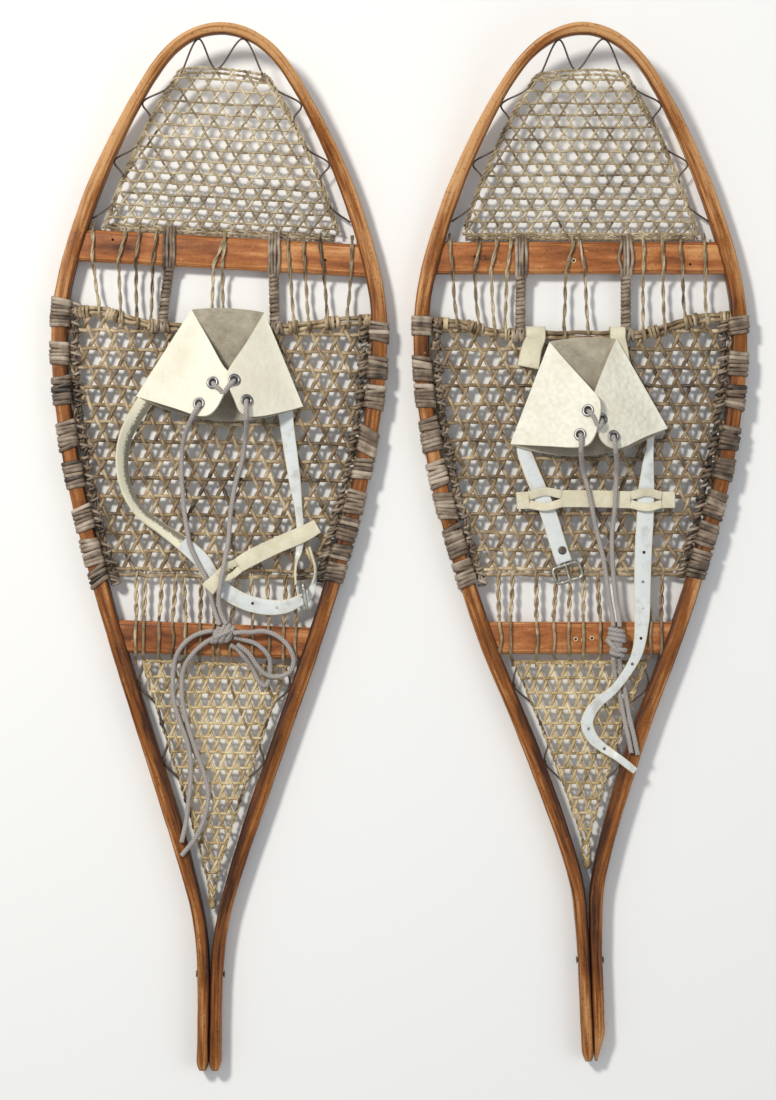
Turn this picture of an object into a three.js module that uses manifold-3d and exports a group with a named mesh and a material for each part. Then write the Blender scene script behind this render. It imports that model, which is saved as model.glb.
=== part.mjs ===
// A pair of traditional wood and rawhide snowshoes with leather toe bindings.
// Millimetres. +Z up, +Y towards the toes, +X to the right. The pair lies flat on the ground.
import * as THREE from 'three';
import { mergeVertices } from 'three/addons/utils/BufferGeometryUtils.js';
import Module from 'manifold-3d';

const wasm = await Module();
wasm.setup();

// ---- driving dimensions -------------------------------------------------------------------
const GAP = 0.3;                 // clearance between neighbouring pieces
const RAIL_BOTTOM = 3;           // the rails ride on the lashing that passes under them
const RAIL_DEPTH = 19;
const RAIL_TOP = RAIL_BOTTOM + RAIL_DEPTH;
const NET_Z = RAIL_BOTTOM + RAIL_DEPTH / 2;   // the netting lies at mid depth of the rails
const NET_THICK = 2.6;
const BAR_THICK = 12;            // crossbars
const BAR_TOP = NET_Z + BAR_THICK / 2;
const BAR_WIDTH = 34;
const TENON = { deep: 8, wide: 20, thick: 6 };
const LOOP_THICK = 2.2;          // lacing that passes over a crossbar
const TOE_RISE = 42;             // upturn of the toe
const TOE_RISE_FROM = 326;       // y where the upturn starts
const TOE_Y = 547;
const TOE_THINNING = 0.22;       // share of the depth that the toe loses
const WRAP = 2.7;                // thickness of the rawhide wound round a rail
const CORD_R = 5;                // master toe cord, a bundle of thongs
const LEATHER = 2.6;
const SKIVED = 0.4;              // the base is thinned by this along its folds, where it bends
const BASE_Z = 20.6;             // underside of the toe piece's base
const STRAP_Z = 16.2;            // heel straps lie on the netting
const STRAP_THICK = 2.4;
const LACE_D = 5;
const FLAP_SLOPE = 0.445;        // rise of a folded flap per mm from its fold

// One shoe's outline: half width and y of the rail's outer edge, from the toe to the tail.
const LEFT = {
  name: 'left', x: -180.2, lean: -0.82, bend: 0,
  edge: [[49, 530], [91, 478], [139, 385], [169, 291], [176, 220], [169, 135], [151, 42],
    [116, -83], [75, -208], [34, -333], [18, -395], [13, -455], [12.8, -546]],
  toeBar: { y: 312.5, tilt: -2.36 }, heelBar: { y: -94, tilt: -1.45 },
  toeCord: [[-155, 250], [-128, 250], [-92, 240], [-66, 234.4], [-48, 234], [0, 234],
    [48, 234], [66, 234.4], [116, 241], [156, 244]],
  pivotY: 234,
  wraps: [[-54, 0, -61], [56, 0, 58]],
  cup: {
    x: 10, y: 246, yaw: 0, hanger: 1,
    leftFlap: [[-38, 0], [-2, -56], [5, -58], [5, -61], [0.4, -63.4], [-0.5, -76], [-9, -99],
      [-20, -107], [-86, -95]],
    rightFlap: [[38, 0], [1, -59], [0, -70], [12, -97], [19, -105], [34, -106], [86, -95]],
    eyelets: {
      upper_left: [-14, -72, -1], upper_right: [8, -69, 1],
      lower_left: [-28, -94, -1], lower_right: [21, -90, 1],
    },
  },
  rivetY: -445,
};
const RIGHT = {
  name: 'right', x: 201.8, lean: 0, bend: 14.5,
  edge: [[49, 529], [91, 478], [138, 385], [168, 291], [175, 220], [168, 135], [149, 42],
    [111, -83], [63, -208], [22, -333], [14, -395], [12.6, -455], [12.2, -536]],
  toeBar: { y: 307, tilt: 0 }, heelBar: { y: -92, tilt: 0 },
  toeCord: [[-155, 240], [-122, 237], [-92, 229], [-66, 226.3], [-48, 226], [0, 226],
    [48, 226], [66, 226.4], [123, 243], [156, 245]],
  pivotY: 226,
  wraps: [[-62, 0, -63], [48, 0, 48]],
  cup: {
    x: -1, y: 213.5, yaw: 5.4, hanger: 4,
    leftFlap: [[-38, 0], [8, -50], [14, -58], [12, -74], [1, -99], [-8, -106], [-86, -95]],
    rightFlap: [[38, 0], [7, -54], [4.6, -66], [5, -86], [15, -106], [27, -111], [40, -107],
      [86, -95]],
    eyelets: {
      upper_left: [0.5, -69, -1], upper_right: [12.8, -79, 1],
      lower_left: [-10, -93, -1], lower_right: [24, -98, 1],
    },
  },
  rivetY: -430,
};

// ---- materials ----------------------------------------------------------------------------
const paint = (color, roughness, metalness = 0) =>
  new THREE.MeshStandardMaterial({ color, roughness, metalness });
const MAT = {
  frame: paint(0xa8642c, 0.45),
  crossbar: paint(0x9a4f2a, 0.5),
  toeNet: paint(0xb9a47e, 0.6),
  bodyNet: paint(0xa98f68, 0.6),
  tailNet: paint(0xc9b47c, 0.6),
  lanyard: paint(0x3d2f22, 0.6),
  wrap: paint(0x7d6a55, 0.6),
  leather: paint(0xeeead8, 0.6),
  suede: paint(0xcfc3a4, 0.9),
  strap: paint(0xdfe2dc, 0.55),
  lace: paint(0x9a8f88, 0.85),
  steel: paint(0x6d6f70, 0.35, 1),
  buckle: paint(0x8d8f80, 0.4, 1),
};

// ---- solids and geometry helpers ----------------------------------------------------------
function toSolid(geometry) {
  const bare = geometry.clone();
  bare.deleteAttribute('normal');
  bare.deleteAttribute('uv');
  const merged = mergeVertices(bare, 1e-4);
  return new wasm.Manifold(new wasm.Mesh({
    numProp: 3,
    vertProperties: new Float32Array(merged.attributes.position.array),
    triVerts: new Uint32Array(merged.index.array),
  }));
}

function toGeometry(solid) {
  const mesh = solid.getMesh();
  const geometry = new THREE.BufferGeometry();
  geometry.setAttribute('position', new THREE.BufferAttribute(mesh.vertProperties, 3));
  geometry.setIndex(new THREE.BufferAttribute(mesh.triVerts, 1));
  geometry.computeVertexNormals();
  return geometry;
}

const join = (list) => toGeometry(list.map(toSolid).reduce((a, b) => a.add(b)));
const cut = (whole, list) => toGeometry(
  list.map(toSolid).reduce((a, b) => a.subtract(b), toSolid(whole)));
const overlap = (a, b) => toGeometry(toSolid(a).intersect(toSolid(b)));

function reshape(geometry, move) {
  const position = geometry.attributes.position;
  const p = new THREE.Vector3();
  for (let i = 0; i < position.count; i += 1) {
    p.fromBufferAttribute(position, i);
    move(p);
    position.setXYZ(i, p.x, p.y, p.z);
  }
  return geometry;
}

const plan = (points) => new THREE.Shape(points.map(([x, y]) => new THREE.Vector2(x, y)));
const opening = (points) => new THREE.Path(points.map(([x, y]) => new THREE.Vector2(x, y)));
const circle = (x, y, r, sides) => Array.from({ length: sides }, (_, k) => {
  const a = ((k + 0.5) * Math.PI * 2) / sides;
  return [x + r * Math.cos(a), y + r * Math.sin(a)];
});

function slab(shape, low, thick) {
  return new THREE.ExtrudeGeometry(shape, { depth: thick, bevelEnabled: false, curveSegments: 8 })
    .translate(0, 0, low);
}

function box(x, y, low, w, l, h) {
  return new THREE.BoxGeometry(w, l, h).translate(x, y, low + h / 2);
}

function rod(radius, length, sides = 10) {
  return new THREE.CylinderGeometry(radius, radius, length, sides);
}

// A round bar along a list of [x, y, z] points.
function tube(points, radius, sides, step) {
  const route = new THREE.CatmullRomCurve3(
    points.map(([x, y, z]) => new THREE.Vector3(x, y, z)), false, 'centripetal');
  const section = plan(circle(0, 0, radius, sides));
  const steps = Math.max(2, Math.round(route.getLength() / step));
  return new THREE.ExtrudeGeometry(section, { steps, extrudePath: route, curveSegments: 1 });
}

// The outline of a band of the given width that follows a line of [x, y] points.
function bandOutline(points, width) {
  const left = [];
  const right = [];
  points.forEach(([x, y], i) => {
    const [px, py] = points[Math.max(i - 1, 0)];
    const [nx, ny] = points[Math.min(i + 1, points.length - 1)];
    const length = Math.hypot(nx - px, ny - py);
    const half = (Array.isArray(width) ? width[i] : width) / 2;
    const ox = (-(ny - py) / length) * half;
    const oy = ((nx - px) / length) * half;
    left.push([x + ox, y + oy]);
    right.push([x - ox, y - oy]);
  });
  return [...right, ...left.reverse()];
}

// A leather strap: each knot is [x, y, underside z, width seen from above, height].
function strap(knots, step = 9) {
  const route = new THREE.CatmullRomCurve3(
    knots.map(([x, y]) => new THREE.Vector3(x, y, 0)), false, 'centripetal');
  const count = Math.round(route.getLength() / step);
  const stations = Array.from({ length: count + 1 }, (_, i) => {
    const t = route.getUtoTmapping(i / count);
    const s = t * (knots.length - 1);
    const k = Math.min(Math.floor(s), knots.length - 2);
    const mix = (n) => THREE.MathUtils.lerp(knots[k][n], knots[k + 1][n], s - k);
    return { at: route.getPoint(t), along: route.getTangent(t), low: mix(2), w: mix(3), h: mix(4) };
  });
  return reshape(new THREE.BoxGeometry(1, count, 1, 1, count, 1), (p) => {
    const { at, along, low, w, h } = stations[Math.round(p.y + count / 2)];
    const across = -p.x * w;
    p.set(at.x - along.y * across, at.y + along.x * across, low + (p.z + 0.5) * h);
  });
}

// ---- the outline of a shoe ----------------------------------------------------------------
const railWidth = (y) => {
  const toe = THREE.MathUtils.smoothstep(y, 330, 540);
  const tail = THREE.MathUtils.smoothstep(-y, 250, 420);
  return 16.4 - 5.4 * toe - 3.6 * tail;
};

// Points of the right-hand rail from toe to tail, a distance in from its outer edge.
function railLine(shoe, inset) {
  const side = shoe.edge.map(([x, y]) => new THREE.Vector2(x, y));
  const mirrored = side.map((p) => new THREE.Vector2(-p.x, p.y)).reverse();
  const tip = new THREE.Vector2(0, TOE_Y);
  const around = new THREE.SplineCurve([...mirrored, tip, ...side]).getPoints(
    (mirrored.length + side.length) * 4);
  const half = around.slice((around.length - 1) / 2);
  return half.map((p, i) => {
    const before = half[Math.max(i - 1, 0)];
    const after = half[Math.min(i + 1, half.length - 1)];
    const along = i === 0 ? new THREE.Vector2(1, 0) : after.clone().sub(before).normalize();
    const depth = inset(p.y);
    return [Math.max(p.x + along.y * depth, 0), p.y - along.x * depth];
  });
}

const outerLine = (shoe) => railLine(shoe, () => 0);
const innerLine = (shoe, extra = 0) => railLine(shoe, (y) => railWidth(y) + extra);

// The x of a toe-to-tail line at a given y.
function xAt(line, y) {
  const i = line.findIndex((p, k) => k > 0 && p[1] <= y && line[k - 1][1] > y);
  const [a, b] = [line[i - 1], line[i]];
  return a[0] + ((b[0] - a[0]) * (a[1] - y)) / (a[1] - b[1]);
}

const mirror = (points) => points.map(([x, y]) => [-x, y]).reverse();

// The upturned, thinner toe and the bent tail are given to flat pieces by moving their points.
function turnUpToe(geometry) {
  return reshape(geometry, (p) => {
    const t = Math.max(0, (p.y - TOE_RISE_FROM) / (TOE_Y - TOE_RISE_FROM));
    p.z += TOE_RISE * t * t - (p.z - RAIL_BOTTOM) * TOE_THINNING * t * t;
  });
}

function bendTail(shoe, geometry) {
  return reshape(geometry, (p) => {
    const t = Math.max(0, (-p.y - 100) / 430);
    p.x += shoe.bend * t ** 1.25;
  });
}

// ---- the wooden pieces --------------------------------------------------------------------
function barPrism(shoe, bar, width, thick, chamfer) {
  const w = width / 2;
  const h = thick / 2;
  const c = chamfer;
  const section = plan([[-w, -h + c], [-w + c, -h], [w - c, -h], [w, -h + c],
    [w, h - c], [w - c, h], [-w + c, h], [-w, h - c]]);
  return new THREE.ExtrudeGeometry(section, { depth: 400, bevelEnabled: false })
    .translate(0, 0, -200)
    .rotateX(Math.PI / 2).rotateZ(Math.PI / 2)
    .rotateZ(THREE.MathUtils.degToRad(bar.tilt))
    .translate(0, bar.y, NET_Z);
}

function insideRails(shoe, extra) {
  const line = innerLine(shoe, extra).filter(([x]) => x > 0.5);
  return slab(plan([...line, ...mirror(line)]), 0, 60);
}

function makeFrame(shoe) {
  const outer = outerLine(shoe);
  const inner = innerLine(shoe).map(([x, y]) => [Math.max(x, GAP), y]);
  inner[0][0] = 0;
  const end = outer[outer.length - 1];
  inner[inner.length - 1] = [GAP, end[1]];
  const outline = [...mirror(outer), ...outer.slice(1), ...inner.slice().reverse(),
    ...mirror(inner).reverse().slice(1)];
  const bevel = 2;
  let frame = new THREE.ExtrudeGeometry(plan(outline), {
    depth: RAIL_DEPTH - 2 * bevel, bevelThickness: bevel, bevelSize: bevel,
    bevelOffset: -bevel, bevelSegments: 1,
  }).translate(0, 0, RAIL_BOTTOM + bevel);
  const mortises = [shoe.toeBar, shoe.heelBar].map((bar) => overlap(
    barPrism(shoe, bar, TENON.wide + 2 * GAP, TENON.thick + 2 * GAP, 0.5),
    insideRails(shoe, -TENON.deep - GAP)));
  const rivetHole = rod(2.6, 60, 8).rotateZ(Math.PI / 2).translate(0, shoe.rivetY, NET_Z);
  frame = cut(frame, [...mortises, rivetHole]);
  return bendTail(shoe, turnUpToe(frame));
}

function makeCrossbar(shoe, bar, width) {
  const board = overlap(barPrism(shoe, bar, width, BAR_THICK, 3), insideRails(shoe, GAP));
  const tenons = overlap(
    barPrism(shoe, bar, TENON.wide, TENON.thick, 0.5), insideRails(shoe, -TENON.deep));
  const hole = rod(1.6, 40, 6).rotateX(Math.PI / 2).translate(0, bar.y, NET_Z);
  return cut(join([board, tenons]), [hole]);
}

const tiltAt = (bar, x) => bar.y + Math.tan(THREE.MathUtils.degToRad(bar.tilt)) * x;

function makeTailRivet(shoe) {
  const reach = xAt(outerLine(shoe), shoe.rivetY) + 0.6;
  const profile = [[0, -reach - 1.4], [3.6, -reach - 1], [3.6, -reach], [2.2, -reach],
    [2.2, reach], [3.6, reach], [3.6, reach + 1], [0, reach + 1.4]];
  const rivet = new THREE.LatheGeometry(profile.map(([r, y]) => new THREE.Vector2(r, y)), 8)
    .rotateZ(Math.PI / 2).translate(0, shoe.rivetY, NET_Z);
  return bendTail(shoe, rivet);
}

// ---- rawhide netting ----------------------------------------------------------------------
function distanceToOutline(outline, x, y) {
  let best = Infinity;
  outline.forEach(([ax, ay], i) => {
    const [bx, by] = outline[(i + 1) % outline.length];
    const length2 = (bx - ax) ** 2 + (by - ay) ** 2;
    const t = THREE.MathUtils.clamp(((x - ax) * (bx - ax) + (y - ay) * (by - ay)) / length2, 0, 1);
    best = Math.min(best, Math.hypot(x - ax - t * (bx - ax), y - ay - t * (by - ay)));
  });
  return best;
}

function inOutline(outline, x, y) {
  let inside = false;
  outline.forEach(([ax, ay], i) => {
    const [bx, by] = outline[(i + 1) % outline.length];
    if ((ay > y) !== (by > y) && x < ((bx - ax) * (y - ay)) / (by - ay) + ax) inside = !inside;
  });
  return inside;
}

// A flat net with six-sided openings, tall / wide giving their stretch along Y.
function net(outline, pitch, strand, tall = 1) {
  const shape = plan(outline);
  const ys = outline.map((p) => p[1]);
  const corner = (pitch - strand) / Math.sqrt(3);
  const row = (pitch * Math.sqrt(3) * tall) / 2;
  let odd = 0;
  for (let y = Math.min(...ys) + row / 2; y < Math.max(...ys); y += row) {
    odd = 1 - odd;
    for (let i = -12; i <= 12; i += 1) {
      const x = (i + odd / 2) * pitch;
      const hole = Array.from({ length: 6 }, (_, k) => {
        const a = Math.PI / 6 + (k * Math.PI) / 3;
        return [x + corner * Math.cos(a), y + corner * tall * Math.sin(a)];
      });
      const clear = hole.every(([hx, hy]) =>
        inOutline(outline, hx, hy) && distanceToOutline(outline, hx, hy) > strand * 0.7);
      if (clear) shape.holes.push(opening(hole));
    }
  }
  return slab(shape, NET_Z - NET_THICK / 2, NET_THICK);
}

// A thong that climbs over a crossbar at x and comes down to the netting on both sides.
function overBar(bar, width, x) {
  const yc = tiltAt(bar, x);
  const near = width / 2 + 0.6;
  const far = near + LOOP_THICK;
  const low = NET_Z - NET_THICK / 2;
  const top = BAR_TOP + 0.4;
  const section = plan([[-far, low], [-near, low], [-near, top], [near, top], [near, low],
    [far, low], [far, top + LOOP_THICK], [-far, top + LOOP_THICK]]);
  const thong = new THREE.ExtrudeGeometry(section, { depth: 4.6, bevelEnabled: false });
  return thong.translate(0, 0, -2.3).rotateX(Math.PI / 2).rotateZ(Math.PI / 2)
    .translate(x, yc, 0);
}

function cordY(shoe, x) {
  const i = shoe.toeCord.findIndex(([cx]) => cx > x);
  const [a, b] = [shoe.toeCord[i - 1], shoe.toeCord[i]];
  return a[1] + ((b[1] - a[1]) * (x - a[0])) / (b[0] - a[0]);
}

const BRIDGES = [-118, -98, -78, 78, 98, 118];

function makeToeWebbing(shoe) {
  const start = shoe.toeBar.y + BAR_WIDTH / 2 + 3;
  const side = innerLine(shoe, 13).filter(([x, y]) => y > start + 4 || x < 1);
  const foot = [xAt(innerLine(shoe, 13), start), start];
  const right = [...side.filter(([, y]) => y > start), foot];
  const slope = (x) => tiltAt(shoe.toeBar, x) - shoe.toeBar.y;
  const outline = [...right, ...mirror(right).slice(0, -1)]
    .map(([x, y]) => [x, y === start ? y + slope(x) - 2 : y]);
  const panel = turnUpToe(net(outline, 34, 7));
  const loops = [...BRIDGES, -58, 58].map((x) => overBar(shoe.toeBar, BAR_WIDTH, x));
  const tails = BRIDGES.map((x) => {
    const from = cordY(shoe, x) + CORD_R + 1.2;
    const to = tiltAt(shoe.toeBar, x) - BAR_WIDTH / 2 - 1.5;
    return box(x, (from + to) / 2, NET_Z - NET_THICK / 2, 4.6, to - from, NET_THICK);
  });
  const ties = [...BRIDGES, -58, 58].map((x) =>
    box(x, tiltAt(shoe.toeBar, x) + BAR_WIDTH / 2 + 4, NET_Z - NET_THICK / 2, 4.6, 7, NET_THICK));
  return join([panel, ...loops, ...tails, ...ties]);
}

function makeBodyWebbing(shoe) {
  const line = innerLine(shoe, 6.4);
  const heel = tiltAt(shoe.heelBar, 0) + BAR_WIDTH / 2;
  const shelf = heel + 48;
  const rightX = (y) => xAt(line, y);
  const right = [];
  for (let y = cordY(shoe, 140) - 9; y > shelf; y -= 34) right.push([rightX(y), y]);
  right.push([rightX(shelf), shelf]);
  const top = [-150, -122, -92, -60, -38, 38, 60, 92, 122, 150].map((x) =>
    [x, cordY(shoe, x) - (Math.abs(x) < 50 ? 11 : CORD_R + 2.4)]);
  const outline = [...mirror(right), ...top.filter(([x]) => Math.abs(x) < 146), ...right];
  const panel = net(outline, 37, 8);
  const drops = [-75, -50, -25, 0, 25, 50, 75];
  const thongs = drops.map((x) => {
    const to = tiltAt(shoe.heelBar, x) + BAR_WIDTH / 2 + 1.5;
    return box(x, (shelf + 4 + to) / 2, NET_Z - NET_THICK / 2, 4.6, shelf + 4 - to, NET_THICK);
  });
  const loops = drops.map((x) => overBar(shoe.heelBar, BAR_WIDTH, x));
  return join([panel, ...thongs, ...loops]);
}

function makeTailWebbing(shoe) {
  const start = shoe.heelBar.y - BAR_WIDTH / 2 - 7.5;
  const line = innerLine(shoe, 8);
  const right = [];
  const end = shoe.name === 'left' ? -366 : -322;
  for (let y = start; y > end; y -= 30) right.push([xAt(line, y), y]);
  right.push([3, end]);
  return bendTail(shoe, net([...right, ...mirror(right)], 25, 6, 1.25));
}

// The dark thong that zigzags between the toe netting and the holes in the frame.
function makeToeLanyard(shoe) {
  const rail = innerLine(shoe, 1.6);
  const mesh = innerLine(shoe, 11);
  const right = [];
  for (let i = 2; rail[i][1] > shoe.toeBar.y + 40; i += 2) {
    right.push((i / 2) % 2 ? rail[i] : mesh[i]);
  }
  const path = [...mirror(right), ...right];
  return turnUpToe(slab(plan(bandOutline(path, 2.4)), NET_Z - 1.3, 2.6));
}

// Rawhide wound round one rail at eight places, with the thong that runs between them.
const LASHED_AT = [249, 207, 167, 121, 79, 34, -2, -27];
const LASHED_LENGTH = 24;

function makeRailLashing(shoe, side) {
  const outer = outerLine(shoe);
  const inner = innerLine(shoe);
  const rings = LASHED_AT.map((y) => {
    const [ox, ix] = [xAt(outer, y), xAt(inner, y)];
    const turn = Math.atan2(xAt(outer, y + 12) - xAt(outer, y - 12), 24);
    const w = (ox - ix) * Math.cos(turn) + 1.6;
    const shape = plan([[-w / 2 - WRAP, 0], [w / 2 + WRAP, 0],
      [w / 2 + WRAP, RAIL_TOP + 0.4 + WRAP], [-w / 2 - WRAP, RAIL_TOP + 0.4 + WRAP]]);
    shape.holes.push(opening([[-w / 2, WRAP], [-w / 2, RAIL_TOP + 0.4],
      [w / 2, RAIL_TOP + 0.4], [w / 2, WRAP]]));
    return new THREE.ExtrudeGeometry(shape, { depth: LASHED_LENGTH, bevelEnabled: false })
      .translate(0, 0, -LASHED_LENGTH / 2).rotateX(Math.PI / 2)
      .rotateZ(-turn).translate((ox + ix) / 2, y, 0);
  });
  const runner = [];
  for (let y = 256; y >= -36; y -= 36.5) runner.push([xAt(innerLine(shoe, 3.2), y), y]);
  const thong = slab(plan(bandOutline(runner, 3.2)), NET_Z - NET_THICK / 2, NET_THICK);
  const lashing = join([...rings, thong]);
  return side > 0 ? lashing : mirrorX(lashing);
}

function mirrorX(geometry) {
  const flipped = geometry.clone().scale(-1, 1, 1);
  const index = flipped.index;
  for (let i = 0; i < index.count; i += 3) {
    const a = index.getX(i);
    index.setX(i, index.getX(i + 1));
    index.setX(i + 1, a);
  }
  return flipped;
}

function makeToeCord(shoe) {
  const rail = innerLine(shoe, 0.8);
  const points = shoe.toeCord.map(([x, y]) => [x, y, NET_Z]);
  const bar = tube(points, CORD_R, 10, 22);
  const line = railLine(shoe, (y) => railWidth(y) + 8.2).filter(([x, y]) => y > 100 && x > 1);
  const room = slab(plan([...line, [line[line.length - 1][0], rail[30][1]],
    ...mirror(line)]), 0, 40);
  return overlap(bar, room);
}

// The bundle between toe bar and toe cord at each side of the toe hole, wound with thong.
function makeToeHoleWrap(shoe, [xTop, , xLow]) {
  const top = tiltAt(shoe.toeBar, xTop) - BAR_WIDTH / 2 - 3.4;
  const low = cordY(shoe, xLow) + CORD_R + 0.8;
  const length = Math.hypot(top - low, xTop - xLow);
  return rod(5, length, 10)
    .rotateZ(Math.atan2(xLow - xTop, top - low))
    .translate((xTop + xLow) / 2, (top + low) / 2, NET_Z);
}

// ---- the leather binding ------------------------------------------------------------------
const CUP = { front: 38, rear: 86, length: 95 };
const FOLD = new THREE.Vector2(CUP.front - CUP.rear, -CUP.length).normalize();

// Height of the flap that is folded at +X, in the cup's own plan coordinates.
const flapRise = (x, y) => {
  const away = (CUP.front - x) * -FOLD.y + y * FOLD.x;
  return FLAP_SLOPE * Math.max(away, 0);
};

function placeCup(shoe, geometry) {
  const { x, y, yaw } = shoe.cup;
  return geometry.rotateZ(THREE.MathUtils.degToRad(yaw)).translate(x, y, 0);
}

function flap(side, outline, holes) {
  const shape = plan(outline);
  holes.forEach(([x, y]) => shape.holes.push(opening(circle(x, y, 4.3, 10))));
  const flat = slab(shape, BASE_Z, LEATHER);
  return reshape(flat, (p) => {
    p.z += flapRise(side * p.x, p.y);
  });
}

function makeToePiece(shoe) {
  const { front, rear, length } = CUP;
  const outline = (inset) => plan([[inset - front, 0], [inset - rear, -length],
    [-rear * 0.5, -length - 5], [rear * 0.5, -length - 5], [rear - inset, -length],
    [front - inset, 0]]);
  const base = slab(outline(0), BASE_Z, LEATHER - SKIVED);
  const tread = slab(outline(14.6), BASE_Z, LEATHER);
  const eyelets = Object.values(shoe.cup.eyelets);
  const left = flap(-1, shoe.cup.leftFlap, eyelets.filter(([, , side]) => side < 0));
  const right = flap(1, shoe.cup.rightFlap, eyelets.filter(([, , side]) => side > 0));
  return placeCup(shoe, join([base, tread, left, right]));
}

function makeEyelet(shoe, [x, y, side]) {
  const flange = LEATHER / 2 + GAP;
  const profile = [[3, -1.6], [3.9, -1.6], [3.9, flange], [6.6, flange], [6.6, flange + 1],
    [3, flange + 1], [3, -1.6]];
  const ring = new THREE.LatheGeometry(profile.map(([r, z]) => new THREE.Vector2(r, z)), 10)
    .rotateX(Math.PI / 2).translate(x, y, BASE_Z + LEATHER / 2);
  return placeCup(shoe, reshape(ring, (p) => {
    p.z += flapRise(side * p.x, p.y);
  }));
}

// The leather hanger is looped round the toe cord at two places and carries the toe piece.
function makeHanger(shoe) {
  const sleeve = plan(circle(0, 0, 8, 12));
  sleeve.holes.push(opening(circle(0, 0, 5.8, 12)));
  const loops = [-22, 22].map((x) =>
    new THREE.ExtrudeGeometry(sleeve, { depth: 20, bevelEnabled: false })
      .rotateY(Math.PI / 2).translate(shoe.cup.hanger + x - 10, shoe.pivotY, NET_Z));
  const back = shoe.cup.y - 52;
  const strip = box(shoe.cup.hanger, (shoe.pivotY + back) / 2, BASE_Z - 2.3,
    64, shoe.pivotY - back, 2);
  return join([...loops, strip]);
}

// ---- straps, buckles and laces ------------------------------------------------------------
const FLAT = STRAP_THICK;
const LEFT_LONG_STRAP = [
  [-79, 150, STRAP_Z, 17, FLAT], [-98, 115, STRAP_Z, 16, FLAT], [-99, 89, STRAP_Z, 15, FLAT],
  [-93, 62, STRAP_Z, 15, FLAT], [-77, 38, STRAP_Z, 16, FLAT], [-53, 20, STRAP_Z, 16, FLAT],
  [-32, 5, STRAP_Z, 17, FLAT], [-15, -11, STRAP_Z, 17, FLAT], [-4, -28, STRAP_Z, 17, FLAT],
  [10, -42, STRAP_Z, 17, FLAT], [25, -51, STRAP_Z, 17, FLAT], [43, -57, STRAP_Z, 17, FLAT],
  [62, -59, 17, 16, FLAT], [76, -57, 19, 14, FLAT], [87, -52, 20.5, 12, FLAT],
  [97, -46, 20.5, 11, FLAT], [101.5, -38, 20.5, 7, FLAT], [104, -28, 17, 4, 9],
  [104.5, -17, STRAP_Z, 3, 15], [101, -4, STRAP_Z, 2.6, 16], [98, 5, STRAP_Z, 2.6, 15],
];
const LEFT_BUCKLE_STRAP = [
  [70, 150, STRAP_Z, 17, FLAT], [72, 134, STRAP_Z, 15, FLAT], [77, 102, STRAP_Z, 14, FLAT],
  [82, 70, STRAP_Z, 12, FLAT], [86, 42, STRAP_Z, 8, FLAT], [88, 22, STRAP_Z, 8, FLAT],
  [86.8, 0, STRAP_Z, 7, FLAT], [84.5, -10, STRAP_Z, 4, 8], [83.5, -20, STRAP_Z, 3, 15],
  [84, -35, STRAP_Z, 3, 15],
];
const LEFT_CROSS_STRAP = [
  [106, 27, 19, 15, FLAT], [92, 19, 19, 17, FLAT], [63, 6, 19, 17, FLAT], [32, -10, 19, 17, FLAT],
  [20, -18, 21, 15, FLAT], [4, -28.5, 25, 13, FLAT], [-8, -41, 25, 16, FLAT],
];
const RIGHT_LONG_STRAP = [
  [73, 110, STRAP_Z, 7, FLAT], [71, 90, STRAP_Z, 12, FLAT], [69, 62, STRAP_Z, 17, FLAT],
  [68, 36, STRAP_Z, 18, FLAT], [66, -1, STRAP_Z, 18, FLAT], [65, -46, STRAP_Z, 17, FLAT],
  [65, -63, 18.5, 16, FLAT], [64, -76, 21.8, 15, FLAT], [60, -104, 21.8, 12, FLAT],
  [52, -122, 21.8, 10, FLAT], [37, -143, 21.8, 9, FLAT], [28, -151.5, 20, 10, FLAT],
  [19, -159, 17, 11, FLAT], [10, -171, STRAP_Z, 12, FLAT], [7, -183, STRAP_Z, 13, FLAT],
  [13, -197, STRAP_Z, 12, FLAT], [23, -206.4, STRAP_Z, 10, FLAT], [31, -211.6, 18.8, 9, FLAT],
  [38.5, -216.5, 22.6, 8, FLAT], [47, -223, 22.6, 8, FLAT], [57, -231, 22.6, 7, FLAT],
];
const RIGHT_BUCKLE_STRAP = [
  [-61, 104, STRAP_Z, 15, FLAT], [-55, 92, STRAP_Z, 16, FLAT], [-42, 60, STRAP_Z, 17, FLAT],
  [-33, 37, STRAP_Z, 17, FLAT], [-24, 8, STRAP_Z, 17, FLAT], [-17, -12.6, STRAP_Z, 17, FLAT],
];
const RIGHT_CROSS_STRAP = [
  [-67, 52, 19, 18, FLAT], [-24, 54, 19, 18, FLAT], [17, 54, 19, 18, FLAT],
  [54, 53, 19, 18, FLAT], [99, 53, 19, 17, FLAT],
];

const BUCKLE = { wide: 32, long: 20, wire: 3.2, thick: 3 };
// The right buckle hangs from its strap at this point, turned by this angle.
const RIGHT_BUCKLE = { x: -16, y: -15.5, yaw: 17 };
const LEFT_BUCKLE = { x: 94, y: -47, yaw: 9 };

function buckleRing() {
  const { wide, long, wire, thick } = BUCKLE;
  const rectangle = (w, l, far) => [[-w, far], [-w, far - l], [w, far - l], [w, far]];
  const shape = plan(rectangle(wide / 2, long, wire / 2));
  shape.holes.push(opening(rectangle(wide / 2 - wire, long - 2 * wire, -wire / 2)));
  return slab(shape, -thick / 2, thick);
}

function placeRightBuckle(geometry) {
  return geometry.rotateZ(THREE.MathUtils.degToRad(RIGHT_BUCKLE.yaw))
    .translate(RIGHT_BUCKLE.x, RIGHT_BUCKLE.y, STRAP_Z + BUCKLE.thick / 2);
}

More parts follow.
